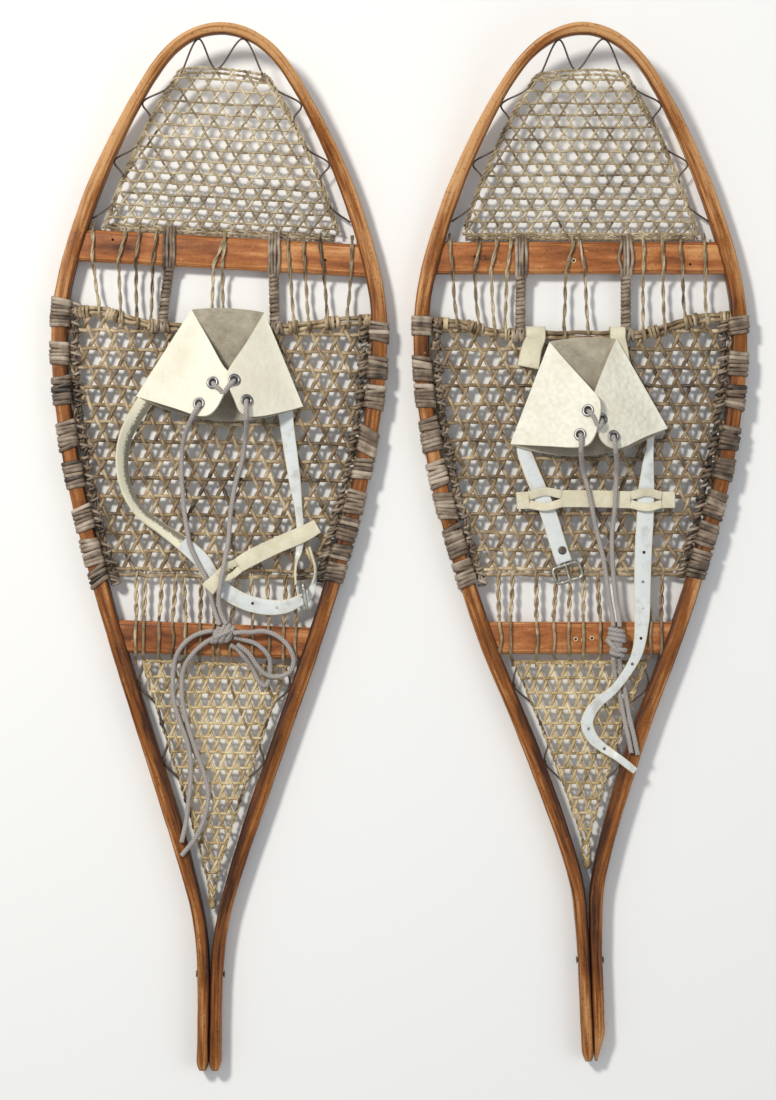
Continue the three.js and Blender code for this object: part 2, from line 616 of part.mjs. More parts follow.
function placeLeftBuckle(geometry) {
  return geometry.rotateX(-Math.PI / 2).rotateZ(Math.PI / 2)
    .rotateZ(THREE.MathUtils.degToRad(LEFT_BUCKLE.yaw))
    .translate(LEFT_BUCKLE.x, LEFT_BUCKLE.y, STRAP_Z + BUCKLE.wire / 2);
}

const prongSlot = placeRightBuckle(box(0, 7, -4, 4.4, 12, 8));
const makeRightProng = () => placeRightBuckle(
  box(0, -9.3, BUCKLE.thick / 2 + 0.4, 2.4, 16.6, 2));
// The left prong stands in its frame and goes through a hole in the long strap.
function leftProng(spare) {
  return box(0, -0.5, 17.8 - spare, 2 + 2 * spare, 2.4 + 2 * spare, 16.6 + 2 * spare)
    .translate(BUCKLE.thick / 2 + 1.4, 0, 0)
    .rotateZ(THREE.MathUtils.degToRad(LEFT_BUCKLE.yaw))
    .translate(LEFT_BUCKLE.x, LEFT_BUCKLE.y, 0);
}

// Lace routes: braided cord from the lower eyelets, down to the knot, its bow and its ends.
const LACES = {
  left: {
    strand_a: [[-26, 136, 47.6], [-29, 130, 42], [-33, 121, 33],
      [-36.5, 107, 24], [-37.5, 90, 19.5], [-37, 73, 18.6], [-35, 50, 18.6], [-33, 34, 19],
      [-30, 18, 21.4], [-27, 4, 21.5], [-18, -15, 21.5], [-10, -29, 21.5], [-5, -47, 21.6],
      [-1, -61, 23.2], [5.4, -78.2, 27.4]],
    strand_b: [[31.5, 136.6, 53.4], [31.2, 129, 44], [30, 119, 31],
      [28, 106, 22.5], [25, 90, 19], [20, 73, 18.6], [16, 50, 18.6], [14, 33, 18.8], [13, 11, 22],
      [10, -8, 27], [7.5, -24, 30], [5, -40, 30], [4, -54, 27.5], [7, -67, 27], [12.4, -77.4, 29]],
    bow_a: [[19.8, -86, 31], [29, -85, 31], [38, -85, 29.6], [50, -83.5, 29.4], [63, -87, 29.4],
      [75, -96, 29], [82, -108, 27], [83, -117, 25], [79, -126, 24.2], [68, -131, 24.2],
      [55, -129.5, 24.2], [46, -121, 27], [36, -107, 29.5], [24, -97.5, 31]],
    bow_b: [[20.2, -90.6, 26], [30, -93, 24.2], [43, -97, 24.1], [53, -105, 24], [57.6, -112, 22],
      [58.5, -121, 19], [58, -132, 18.6], [54, -141, 18.6], [47, -137, 18.6], [40.5, -124, 19.4],
      [35, -115.5, 21.8], [29.5, -109, 24], [24, -103, 24.4], [16.5, -98.6, 26]],
    tail_a: [[-1.6, -84, 28], [-10, -85.5, 24.6], [-20, -89, 24.2], [-30, -96, 24.2],
      [-37, -105, 23], [-41.5, -116, 19.6], [-43.5, -134, 18.6], [-42, -159, 18.6],
      [-35, -181, 18.6], [-27, -203, 18.6], [-23.5, -222, 18.6], [-23.5, -245, 18.6],
      [-25.5, -266, 18.6], [-27, -283, 21], [-29.5, -297, 24.9], [-31.5, -306, 25]],
    tail_b: [[-1.6, -92, 27], [-10, -97, 24.6], [-19, -104.5, 24.2], [-25.5, -112.5, 24.6],
      [-30.2, -120, 21.8], [-33.5, -131, 18.6], [-34, -146, 18.6], [-32, -165, 18.6],
      [-26, -187, 18.6], [-17, -213, 18.6], [-9, -235, 18.6], [-4.5, -254, 18.6],
      [-6.5, -274, 18.6], [-12, -291, 19.4], [-19, -304, 23.6], [-31.5, -320, 25]],
  },
  right: {
    strand_a: [[-2, 102.5, 57], [-1.3, 98, 51], [-0.2, 92, 41],
      [1.5, 86, 32], [4, 77, 25.2], [7, 67, 24.4], [10, 53, 24.4], [12, 44, 24.4],
      [13.6, 36, 22.4], [16, 26, 19], [19, 13, 18.6], [24, -8, 18.6], [27.5, -30, 18.6],
      [30.5, -52, 18.8], [33, -67, 22], [34, -80.4, 27]],
    strand_b: [[34.4, 101.5, 53], [35.4, 97, 47], [36.6, 90, 37], [37, 82, 28],
      [37, 74, 24.6], [36.5, 63, 24.4], [36, 52, 24.4], [35.6, 44, 24.2], [35, 36, 22.2],
      [34, 26, 19], [33, 8, 18.6], [34.5, -25, 18.6], [37.5, -54, 18.8], [39.6, -67, 22.5],
      [40.4, -80.4, 28]],
    tail_a: [[34, -112, 26], [34.8, -119, 22], [36, -128, 18.8], [39, -142, 18.6], [42, -156, 18.6],
      [45.5, -174, 18.8], [48, -187, 22.6], [49.8, -195, 24.8], [53, -212, 25]],
    tail_b: [[39.8, -112, 25], [41.2, -118.5, 20.6], [43, -127, 18.6], [46.5, -146, 18.6],
      [49, -160, 18.6], [51, -173, 20], [53, -183, 23.8], [54.6, -190, 25], [59.6, -214, 25]],
  },
};
const KNOTS = {
  left: { at: [9, -88, 30], radii: [9, 9, 8] },
  right: { at: [37, -96, 30], radii: [10, 14, 8] },
};

function makeKnot({ at, radii }) {
  return new THREE.SphereGeometry(1, 10, 7).scale(...radii).translate(...at);
}

// ---- assembly -----------------------------------------------------------------------------
const model = new THREE.Group();

function add(group, name, geometry, material) {
  const mesh = new THREE.Mesh(geometry, material);
  mesh.name = name;
  group.add(mesh);
}

function buildShoe(shoe, extras) {
  const group = new THREE.Group();
  const part = (name, geometry, material) => add(group, `${shoe.name}_${name}`, geometry, material);
  part('frame', makeFrame(shoe), MAT.frame);
  part('toe_crossbar', makeCrossbar(shoe, shoe.toeBar, BAR_WIDTH), MAT.crossbar);
  part('heel_crossbar', makeCrossbar(shoe, shoe.heelBar, BAR_WIDTH), MAT.crossbar);
  part('tail_rivet', makeTailRivet(shoe), MAT.steel);
  part('toe_webbing', makeToeWebbing(shoe), MAT.toeNet);
  part('body_webbing', makeBodyWebbing(shoe), MAT.bodyNet);
  part('tail_webbing', makeTailWebbing(shoe), MAT.tailNet);
  part('toe_lanyard', makeToeLanyard(shoe), MAT.lanyard);
  part('rail_lashing_left', makeRailLashing(shoe, -1), MAT.wrap);
  part('rail_lashing_right', makeRailLashing(shoe, 1), MAT.wrap);
  part('toe_cord', makeToeCord(shoe), MAT.wrap);
  part('toe_hole_wrap_left', makeToeHoleWrap(shoe, shoe.wraps[0]), MAT.wrap);
  part('toe_hole_wrap_right', makeToeHoleWrap(shoe, shoe.wraps[1]), MAT.wrap);
  part('toe_piece', makeToePiece(shoe), MAT.leather);
  part('hanger_strap', makeHanger(shoe), MAT.suede);
  Object.entries(shoe.cup.eyelets).forEach(([where, spot]) => {
    part(`eyelet_${where}`, makeEyelet(shoe, spot), MAT.steel);
  });
  Object.entries(LACES[shoe.name]).forEach(([end, route]) => {
    part(`lace_${end}`, tube(route, LACE_D / 2, 8, 13.5), MAT.lace);
  });
  part('lace_knot', makeKnot(KNOTS[shoe.name]), MAT.lace);
  extras.forEach(([name, geometry, material]) => part(name, geometry, material));
  group.rotation.z = THREE.MathUtils.degToRad(shoe.lean);
  group.position.x = shoe.x;
  model.add(group);
}

buildShoe(LEFT, [
  ['long_strap', cut(strap(LEFT_LONG_STRAP), [leftProng(GAP)]), MAT.strap],
  ['buckle_strap', strap(LEFT_BUCKLE_STRAP), MAT.strap],
  ['cross_strap', strap(LEFT_CROSS_STRAP), MAT.leather],
  ['buckle_frame', placeLeftBuckle(buckleRing()), MAT.buckle],
  ['buckle_prong', leftProng(0), MAT.buckle],
]);
buildShoe(RIGHT, [
  ['long_strap', strap(RIGHT_LONG_STRAP), MAT.strap],
  ['buckle_strap', cut(strap(RIGHT_BUCKLE_STRAP), [prongSlot]), MAT.strap],
  ['cross_strap', strap(RIGHT_CROSS_STRAP), MAT.leather],
  ['buckle_frame', placeRightBuckle(buckleRing()), MAT.buckle],
  ['buckle_prong', makeRightProng(), MAT.buckle],
]);

// The origin is at the centre of the ground rectangle that the pair covers.
model.updateMatrixWorld(true);
const covered = new THREE.Box3();
model.traverse((mesh) => {
  if (mesh.isMesh && !mesh.name.includes('lace_')) covered.expandByObject(mesh, true);
});
const centre = covered.getCenter(new THREE.Vector3());
model.position.set(-centre.x, -centre.y, -covered.min.z);
model.updateMatrixWorld(true);

export default model;
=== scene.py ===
"""A pair of wooden snowshoes: the looks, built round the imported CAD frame. Metres, +Z up."""
import math
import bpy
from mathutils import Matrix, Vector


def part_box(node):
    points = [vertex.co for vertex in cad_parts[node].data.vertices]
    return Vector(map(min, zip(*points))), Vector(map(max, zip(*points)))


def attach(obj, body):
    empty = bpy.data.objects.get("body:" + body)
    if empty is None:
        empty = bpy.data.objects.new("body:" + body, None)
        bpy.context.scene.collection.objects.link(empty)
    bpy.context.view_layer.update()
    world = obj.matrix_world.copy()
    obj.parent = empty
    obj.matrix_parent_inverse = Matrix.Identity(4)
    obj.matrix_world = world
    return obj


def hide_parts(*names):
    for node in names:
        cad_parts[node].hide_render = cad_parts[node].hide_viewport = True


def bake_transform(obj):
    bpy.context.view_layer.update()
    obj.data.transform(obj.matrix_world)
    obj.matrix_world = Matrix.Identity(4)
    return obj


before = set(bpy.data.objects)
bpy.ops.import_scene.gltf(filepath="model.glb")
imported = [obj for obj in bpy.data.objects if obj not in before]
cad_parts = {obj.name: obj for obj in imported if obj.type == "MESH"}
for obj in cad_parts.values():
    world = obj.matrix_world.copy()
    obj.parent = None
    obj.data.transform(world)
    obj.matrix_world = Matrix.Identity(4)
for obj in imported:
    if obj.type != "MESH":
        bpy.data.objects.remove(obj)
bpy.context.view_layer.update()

from types import SimpleNamespace

import bmesh
import bpy
import numpy as np
from mathutils import Matrix, Vector

MM = 0.001
RAIL_BOTTOM, RAIL_TOP, NET_Z, BAR_TOP = 3.0, 22.0, 12.5, 18.5
RAIL_MIDDLE, RAIL_HALF = (RAIL_TOP + RAIL_BOTTOM) / 2, (RAIL_TOP - RAIL_BOTTOM) / 2
BAR_WIDTH = 34.0
HALF_BAR = BAR_WIDTH / 2
RAIL_WIDTH, TOE_NARROWING, TAIL_NARROWING, ROUNDED_END = 16.4, 5.4, 3.6, 9.0
TOE_Y, TOE_RISE_FROM, TOE_RISE, TOE_THINNING = 547.0, 326.0, 42.0, 0.22
LACE_D = 5.0
STRAP_T = 2.4
EYELET_HOLE, STRAP_HOLE, BAR_HOLE = 3.3, 1.7, 1.5       # radii
rng = np.random.default_rng(11)


# ---- the two shoes, in millimetres from each shoe's own middle -------------------------------
def middle(node):
    """The middle of a CAD node's box, in metres."""
    low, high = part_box(node)
    return (low + high) / 2


def make_shoe(name, lean, mark, mark_y, **facts):
    """A shoe's axes, from a CAD node that lies on its centre line at mark_y."""
    turn = math.radians(lean)
    at = middle(f"{name}_{mark}")
    x = at.x + math.sin(turn) * mark_y * MM
    y = at.y - math.cos(turn) * mark_y * MM
    return SimpleNamespace(name=name, body=f"{name}_shoe", binding=f"{name}_binding",
                           lean=turn, origin=(x, y), **facts)


LEFT = make_shoe(
    "left", -0.82, "tail_rivet", -445, bend=0.0,
    edge=[(49, 530), (91, 478), (139, 385), (169, 291), (176, 220), (169, 135), (151, 42),
          (116, -83), (75, -208), (34, -333), (18, -395), (13, -455), (12.8, -546)],
    toe_bar=(312.5, -2.36), heel_bar=(-94, -1.45), rivet_y=-445,
    toe_cord=[(-170, 247), (-128, 250), (-92, 240), (-66, 234.4), (-48, 234), (0, 234), (48, 234),
              (66, 234.4), (116, 241), (156, 244), (172, 243)],
    wraps=[(-54, -61), (56, 58)],
    over_toe=[(-134, -134, -127), (-100, -107, -104), (-85, -89, -87), (-67, -71, -72),
              (4, -7, -9), (5, 2, 4), (70, 73, 78), (87, 89, 93), (104, 109, 113),
              (138, 137, 134)],
    over_heel=[-83, -75, -59, -45, -31, -16, -1.5, 4, 16, 39, 56, 72, 85],
    lash_left=[(262, 232), (217, 193), (180, 151), (133, 104), (91, 63), (44, 19), (10, -18),
               (-20, -37)],
    lash_right=[(242, 221), (205, 183), (175, 151), (130, 103), (98, 77), (65, 40), (36, 12),
                (8, -8), (-11, -31)],
    tail_web_end=-372,
    blend_y=(150.0, 0.0), pivot_y=234.0,
    cup=SimpleNamespace(x=10, y=246, yaw=0.0))
RIGHT = make_shoe(
    "right", 0.0, "heel_crossbar", -92, bend=14.5,
    edge=[(49, 529), (91, 478), (138, 385), (168, 291), (175, 220), (168, 135), (149, 42),
          (111, -83), (63, -208), (22, -333), (14, -395), (12.6, -455), (12.2, -536)],
    toe_bar=(307, 0.0), heel_bar=(-92, 0.0), rivet_y=-430,
    toe_cord=[(-172, 240), (-122, 237), (-92, 229), (-66, 226.3), (-48, 226), (0, 226), (48, 226),
              (66, 226.4), (123, 243), (156, 245), (172, 245)],
    wraps=[(-62, -63), (48, 48)],
    over_toe=[(-137, -134, -130), (-106, -111, -107), (-88, -94, -90), (-73, -77, -79),
              (-8, -15, -17), (-1, 5, 8), (66, 66, 66), (86, 87, 88), (105, 107, 110),
              (130, 131, 132)],
    over_heel=[-85, -73, -46, -28, -12, 3, 21, 74, 85],
    lash_left=[(246, 226), (203, 178), (174, 150), (138, 104), (93, 67), (60, 33), (24, -6),
               (-10, -37)],
    lash_right=[(246, 227), (208, 183), (172, 148), (130, 106), (96, 74), (61, 34), (28, 4),
                (0, -28)],
    tail_web_end=-330,
    blend_y=(112.0, -10.0), pivot_y=226.0,
    cup=SimpleNamespace(x=-1, y=213.5, yaw=math.radians(5.4)))


def turned(points, angle):
    """A copy of points, turned about the Z axis."""
    c, s = math.cos(angle), math.sin(angle)
    out = np.array(points, float)
    x, y = out[..., 0].copy(), out[..., 1].copy()
    out[..., 0], out[..., 1] = x * c - y * s, x * s + y * c
    return out


def to_row(shoe, points):
    """Shoe millimetres to the row frame in metres."""
    points = np.asarray(points, float).reshape(-1, 3) * MM
    return turned(points, shoe.lean) + (*shoe.origin, 0)


def row_to_shoe(shoe, point):
    """A row point in metres to shoe millimetres."""
    x, y = turned((point[0] - shoe.origin[0], point[1] - shoe.origin[1]), -shoe.lean)
    return x / MM, y / MM, point[2] / MM


# ---- curves ----------------------------------------------------------------------------------
def curve(points, step, alpha=0.5):
    """A Catmull-Rom curve through points, about step apart. Further columns go along."""
    p = np.asarray(points, float)
    k = min(3, p.shape[1])
    p = np.vstack([2 * p[0] - p[1], p, 2 * p[-1] - p[-2]])
    out = []
    for i in range(1, len(p) - 2):
        q = p[i - 1:i + 3]
        gaps = np.maximum(np.linalg.norm(np.diff(q[:, :k], axis=0), axis=1), 1e-6) ** alpha
        t0, t1, t2, t3 = np.concatenate([[0], np.cumsum(gaps)])
        count = max(1, round(np.linalg.norm(q[2, :k] - q[1, :k]) / step))
        t = np.linspace(t1, t2, count, endpoint=False)[:, None]
        a1 = (t1 - t) / (t1 - t0) * q[0] + (t - t0) / (t1 - t0) * q[1]
        a2 = (t2 - t) / (t2 - t1) * q[1] + (t - t1) / (t2 - t1) * q[2]
        a3 = (t3 - t) / (t3 - t2) * q[2] + (t - t2) / (t3 - t2) * q[3]
        b1 = (t2 - t) / (t2 - t0) * a1 + (t - t0) / (t2 - t0) * a2
        b2 = (t3 - t) / (t3 - t1) * a2 + (t - t1) / (t3 - t1) * a3
        out.append((t2 - t) / (t2 - t1) * b1 + (t - t1) / (t2 - t1) * b2)
    return np.vstack(out + [p[-2:-1]])


def lengths(path):
    """How far along the path each of its points lies."""
    return np.concatenate([[0], np.cumsum(np.linalg.norm(np.diff(path[:, :3], axis=0), axis=1))])


def wobble(t, wave):
    """Smooth noise of about unit size over distance t."""
    total = np.zeros_like(t)
    for share in (1.0, 1.9, 3.1):
        total += np.sin(2 * math.pi * t / wave * share + rng.uniform(0, 6.3)) / (1 + share)
    return total


def circle(sides):
    """Angles evenly round a circle."""
    return np.linspace(0, 2 * math.pi, sides, endpoint=False)


def smoothstep(x, low, high):
    t = np.clip((np.asarray(x, float) - low) / (high - low), 0, 1)
    return t * t * (3 - 2 * t)


def rail_width(y):
    """Width of a rail in plan, which narrows at the toe and in the tail."""
    at_toe, at_tail = smoothstep(y, 330, 540), smoothstep(-y, 250, 420)
    return RAIL_WIDTH - TOE_NARROWING * at_toe - TAIL_NARROWING * at_tail


def toe_lift(points):
    """Gives the upturn of the toe to points in shoe millimetres."""
    t = np.maximum(0, (points[:, 1] - TOE_RISE_FROM) / (TOE_Y - TOE_RISE_FROM))
    points[:, 2] += TOE_RISE * t * t - (points[:, 2] - RAIL_BOTTOM) * TOE_THINNING * t * t
    return points


def tail_bend(shoe, points):
    """Gives the sideways bend of the tail to points in shoe millimetres."""
    bend_from, bend_length = 100, 430
    t = np.maximum(0, (-points[:, 1] - bend_from) / bend_length)
    points[:, 0] += shoe.bend * t ** 1.25
    return points


def rail_lines(shoe, step=4.0):
    """Outer and inner edge of the right-hand rail in plan, from the toe to the tail."""
    side = np.array(shoe.edge, float)
    whole = np.vstack([side[::-1] * (-1, 1), [(0, TOE_Y)], side])
    line = curve(whole, step, alpha=0.0)
    outer = line[np.argmin(np.abs(line[:, 0]) + (line[:, 1] < 500) * 1e3):]
    along = np.gradient(outer, axis=0)
    along /= np.linalg.norm(along, axis=1)[:, None]
    along[0] = (1, 0)
    normal = np.column_stack([along[:, 1], -along[:, 0]])
    inner = outer + normal * rail_width(outer[:, 1])[:, None]
    inner[:, 0] = np.maximum(inner[:, 0], 0.3)
    inner[0, 0] = 0
    return outer, inner


def inset(shoe, distance, step=4.0):
    """The line a distance in from the right-hand rail's inner edge."""
    outer, inner = rail_lines(shoe, step)
    way = inner - outer
    way /= np.linalg.norm(way, axis=1)[:, None]
    line = inner + way * distance
    return line[line[:, 0] >= 0]


def x_at(line, y):
    """The x where a rail line passes y, away from the toe."""
    order = np.argsort(line[:, 1])
    return np.interp(y, line[order, 1], line[order, 0])


def x_height(line, x):
    """The y where a rail line passes x, near the toe."""
    order = np.argsort(line[:, 0])
    near = line[order][line[order][:, 1] > 400]
    return np.interp(x, near[:, 0], near[:, 1])


def bar_y(bar, x):
    """The y of a crossbar's centre line at x."""
    return bar[0] + math.tan(math.radians(bar[1])) * np.asarray(x, float)


def cord_y(shoe, x):
    """The y of the toe cord at x."""
    p = np.array(shoe.toe_cord, float)
    return np.interp(x, p[:, 0], p[:, 1])


# ---- mesh building ---------------------------------------------------------------------------
def add_object(name, data):
    """A new object in the scene."""
    made = bpy.data.objects.new(name, data)
    bpy.context.scene.collection.objects.link(made)
    return made


class Pile:
    """Strands, sheets and lumps gathered into one mesh, with UVs in millimetres and a shade."""

    def __init__(self, shoe):
        self.shoe, self.count = shoe, 0
        self.parts = []

    def add(self, points, loops, sizes, uv, shade, material=0):
        points = np.asarray(points, float)
        shade = np.broadcast_to(np.asarray(shade, float), (len(points),))
        mats = np.broadcast_to(np.asarray(material), (len(sizes),))
        self.parts.append((points, np.asarray(loops) + self.count, sizes, uv, shade, mats))
        self.count += len(points)

    def build(self, name, *materials):
        points, loops, sizes, uv, shade, mats = (np.concatenate(x) for x in zip(*self.parts))
        mesh = bpy.data.meshes.new(name)
        mesh.vertices.add(len(points))
        mesh.vertices.foreach_set("co", to_row(self.shoe, points).ravel())
        mesh.loops.add(len(loops))
        mesh.loops.foreach_set("vertex_index", loops.astype(np.int32))
        mesh.polygons.add(len(sizes))
        starts = np.concatenate([[0], np.cumsum(sizes)[:-1]])
        mesh.polygons.foreach_set("loop_start", starts.astype(np.int32))
        mesh.polygons.foreach_set("material_index", mats.astype(np.int32))
        mesh.polygons.foreach_set("use_smooth", np.full(len(sizes), True))
        mesh.uv_layers.new(name="UVMap").data.foreach_set("uv", (uv * MM).ravel())
        mesh.attributes.new("shade", "FLOAT", "POINT").data.foreach_set(
            "value", shade.astype(np.float32))
        mesh.update()
        mesh.validate()
        for material in materials:
            mesh.materials.append(material)
        return add_object(name, mesh)


def frames(path, up, closed=False):
    """Across and upright directions for each point of a path. up None carries them along."""
    if closed:
        along = np.roll(path, -1, axis=0) - np.roll(path, 1, axis=0)
    else:
        along = np.gradient(path, axis=0)
    along /= np.maximum(np.linalg.norm(along, axis=1), 1e-9)[:, None]
    if up is None:
        across = np.zeros_like(path)
        start = np.cross((0, 0, 1), along[0])
        if np.linalg.norm(start) < 0.05:
            start = np.array((1.0, 0, 0))
        for i, t in enumerate(along):
            start = start - t * (start @ t)
            start = start / np.linalg.norm(start)
            across[i] = start
    else:
        across = np.cross(np.broadcast_to(up, path.shape), along)
        across /= np.maximum(np.linalg.norm(across, axis=1), 1e-9)[:, None]
    return along, across, np.cross(along, across)


def skin(pile, rings, uv_along, uv_round, shade, closed=False, material=0):
    """Faces between rings of points, an n x m x 3 array, with a cap on each open end."""
    n, m = rings.shape[:2]
    last = n if closed else n - 1
    i, j = np.meshgrid(np.arange(last), np.arange(m), indexing="ij")
    i2, j2 = (i + 1) % n, (j + 1) % m
    quads = np.stack([i * m + j, i * m + j2, i2 * m + j2, i2 * m + j], axis=-1)
    u = np.append(uv_along, uv_along[-1] + 3)
    v = np.append(uv_round, uv_round[0] + (uv_round[-1] - uv_round[-2]) + uv_round[-1])
    quad_uv = np.stack([np.stack([u[i], v[j]], -1), np.stack([u[i], v[j + 1]], -1),
                        np.stack([u[i + 1], v[j + 1]], -1), np.stack([u[i + 1], v[j]], -1)], -2)
    if np.ndim(material):
        face_mats, cap_mat = material[:last].ravel(), material[0, 0]
    else:
        face_mats = cap_mat = material
    if np.ndim(shade) == 1:
        shade = np.asarray(shade)[:, None]
    base = pile.count
    pile.add(rings.reshape(-1, 3), quads.ravel(), np.full(quads.size // 4, 4),
             quad_uv.reshape(-1, 2), np.broadcast_to(shade, (n, m)).ravel(), face_mats)
    if not closed:
        ends = np.concatenate([np.arange(m)[::-1], (n - 1) * m + np.arange(m)])
        pile.parts.append((np.empty((0, 3)), ends + base, np.array([m, m]),
                           np.zeros((2 * m, 2)), np.empty(0), np.full(2, cap_mat)))


def tube(pile, path, wide, thick=None, sides=8, up=(0, 0, 1), shade=0.5, closed=False):
    """A round or flattened strand along path: wide and thick are diameters in millimetres."""
    path = np.asarray(path, float)
    thick = wide if thick is None else thick
    _, across, upright = frames(path, up, closed)
    a = circle(sides)
    wide = np.broadcast_to(wide, (len(path),))[:, None, None] / 2
    thick = np.broadcast_to(thick, (len(path),))[:, None, None] / 2
    rings = (path[:, None] + across[:, None] * wide * np.cos(a)[None, :, None]
             + upright[:, None] * thick * np.sin(a)[None, :, None])
    round_way = a / (2 * math.pi) * math.pi * float(np.mean(wide + thick))
    skin(pile, rings, lengths(path), round_way, shade, closed)


def ply(pile, path, wide, pitch, sides=6, shade=0.5, up=(0, 0, 1), gap=0.5):
    """Two strands laid round each other along path, like a twisted thong."""
    path = np.asarray(path, float)
    _, across, upright = frames(path, up)
    s = lengths(path)
    start = rng.uniform(0, 6.3)
    for half_turn in (0, 0.5):
        turn = start + 2 * math.pi * (s / pitch + half_turn)
        offset = across * np.cos(turn)[:, None] + upright * np.sin(turn)[:, None]
        tube(pile, path + offset * wide * gap, wide, sides=sides, up=None,
             shade=shade + rng.uniform(-0.1, 0.1))


def lump(pile, at, radii, shade, turns=12, rings=9):
    """A knot's core: a rounded, uneven lump."""
    rough = 0.12
    lat = np.linspace(-math.pi / 2, math.pi / 2, rings + 2)[1:-1]
    lon = circle(turns)
    out = []
    for a in lat:
        r = 1 + rough * (np.sin(3 * lon + 5 * a) + np.sin(5 * lon - 4 * a)) / 2
        out.append(np.column_stack([np.cos(a) * np.cos(lon) * r, np.cos(a) * np.sin(lon) * r,
                                    np.full(turns, math.sin(a))]))
    skin(pile, np.array(out) * radii + at, np.arange(rings) * 3.0, lon * 3, shade)


def apply_modifiers(piece):
    """Replaces a piece's mesh by what its modifiers make of it."""
    graph = bpy.context.evaluated_depsgraph_get()
    mesh = bpy.data.meshes.new_from_object(piece.evaluated_get(graph))
    piece.modifiers.clear()
    old = piece.data
    piece.data = mesh
    bpy.data.meshes.remove(old)
    mesh.set_sharp_from_angle(angle=math.radians(42))


def turn_to(axis):
    """The turn that brings the Z axis to another."""
    return Vector((0, 0, 1)).rotation_difference(Vector(axis)).to_matrix().to_4x4()


def drill(piece, shoe, spots, radius, depth=30.0, axis=(0, 0, 1)):
    """Cuts round holes through a piece at points in shoe millimetres."""
    tool = bmesh.new()
    for centre in to_row(shoe, spots):
        bmesh.ops.create_cone(tool, cap_ends=True, segments=20, radius1=radius * MM,
                              radius2=radius * MM, depth=depth * MM,
                              matrix=Matrix.Translation(centre) @ turn_to(axis))
    mesh = bpy.data.meshes.new("drill")
    tool.to_mesh(mesh)
    tool.free()
    cutter = add_object("drill", mesh)
    cut = piece.modifiers.new("holes", "BOOLEAN")
    cut.operation, cut.object, cut.solver = "DIFFERENCE", cutter, "EXACT"
    bpy.context.view_layer.update()
    apply_modifiers(piece)
    bpy.data.objects.remove(cutter)
    # the boolean leaves the shade of new points at 0, which is black
    shade = piece.data.attributes["shade"].data
    values = np.zeros(len(shade), np.float32)
    shade.foreach_get("value", values)
    values[values < 0.01] = 0.5
    shade.foreach_set("value", values)


# ---- materials -------------------------------------------------------------------------------
class Paint:
    """A node material: inputs are given as values or as other nodes' outputs."""

    def __init__(self, name):
        self.material = bpy.data.materials.new(name)
        self.material.use_nodes = True
        self.tree = self.material.node_tree
        self.shader = self.tree.nodes["Principled BSDF"]

    def node(self, kind, inputs=None, **settings):
        made = self.tree.nodes.new(kind)
        for key, value in settings.items():
            setattr(made, key, value)
        for key, value in (inputs or {}).items():
            self.put(made.inputs[key], value)
        return made

    def put(self, socket, value):
        if isinstance(value, bpy.types.NodeSocket):
            self.tree.links.new(value, socket)
        else:
            socket.default_value = value

    def coords(self, kind="Object", scale=(1, 1, 1)):
        where = self.node("ShaderNodeTexCoord").outputs[kind]
        return self.node("ShaderNodeMapping", {"Vector": where, "Scale": scale}).outputs[0]

    def noise(self, vector, scale, detail=4.0, rough=0.55):
        return self.node("ShaderNodeTexNoise", {
            "Vector": vector, "Scale": scale, "Detail": detail, "Roughness": rough}).outputs[0]

    def ramp(self, value, *stops):
        """A colour ramp. Each stop is a place and a colour, or a number for a grey."""
        made = self.node("ShaderNodeValToRGB", {"Fac": value})
        elements = made.color_ramp.elements
        while len(elements) < len(stops):
            elements.new(0.5)
        for element, (place, color) in zip(elements, stops):
            element.position = place
            element.color = (*(color if isinstance(color, tuple) else (color,) * 3), 1)
        return made.outputs[0]

    def math(self, how, *values):
        made = self.node("ShaderNodeMath", operation=how)
        for socket, value in zip(made.inputs, values):
            self.put(socket, value)
        return made.outputs[0]

    def total(self, *terms, plus=0.0):
        """A sum of outputs, given as (output, weight) pairs, and a number."""
        for value, weight in terms:
            plus = self.math("MULTIPLY_ADD", value, weight, plus)
        return plus

    def mix(self, factor, a, b):
        made = self.node("ShaderNodeMix", data_type="RGBA")
        for key, value in ((0, factor), (6, a), (7, b)):
            value = (*value, 1) if isinstance(value, tuple) and len(value) == 3 else value
            self.put(made.inputs[key], value)
        return made.outputs[2]

    def shade(self):
        return self.node("ShaderNodeAttribute", attribute_name="shade").outputs["Fac"]

    def finish(self, color, rough, bump=None, strength=0.3, distance=0.0005, **sockets):
        self.put(self.shader.inputs["Base Color"], color)
        self.put(self.shader.inputs["Roughness"], rough)
        for key, value in sockets.items():
            self.put(self.shader.inputs[key.replace("_", " ")], value)
        if bump is not None:
            made = self.node("ShaderNodeBump", {
                "Height": bump, "Strength": strength, "Distance": distance})
            self.tree.links.new(made.outputs[0], self.shader.inputs["Normal"])
        return self.material


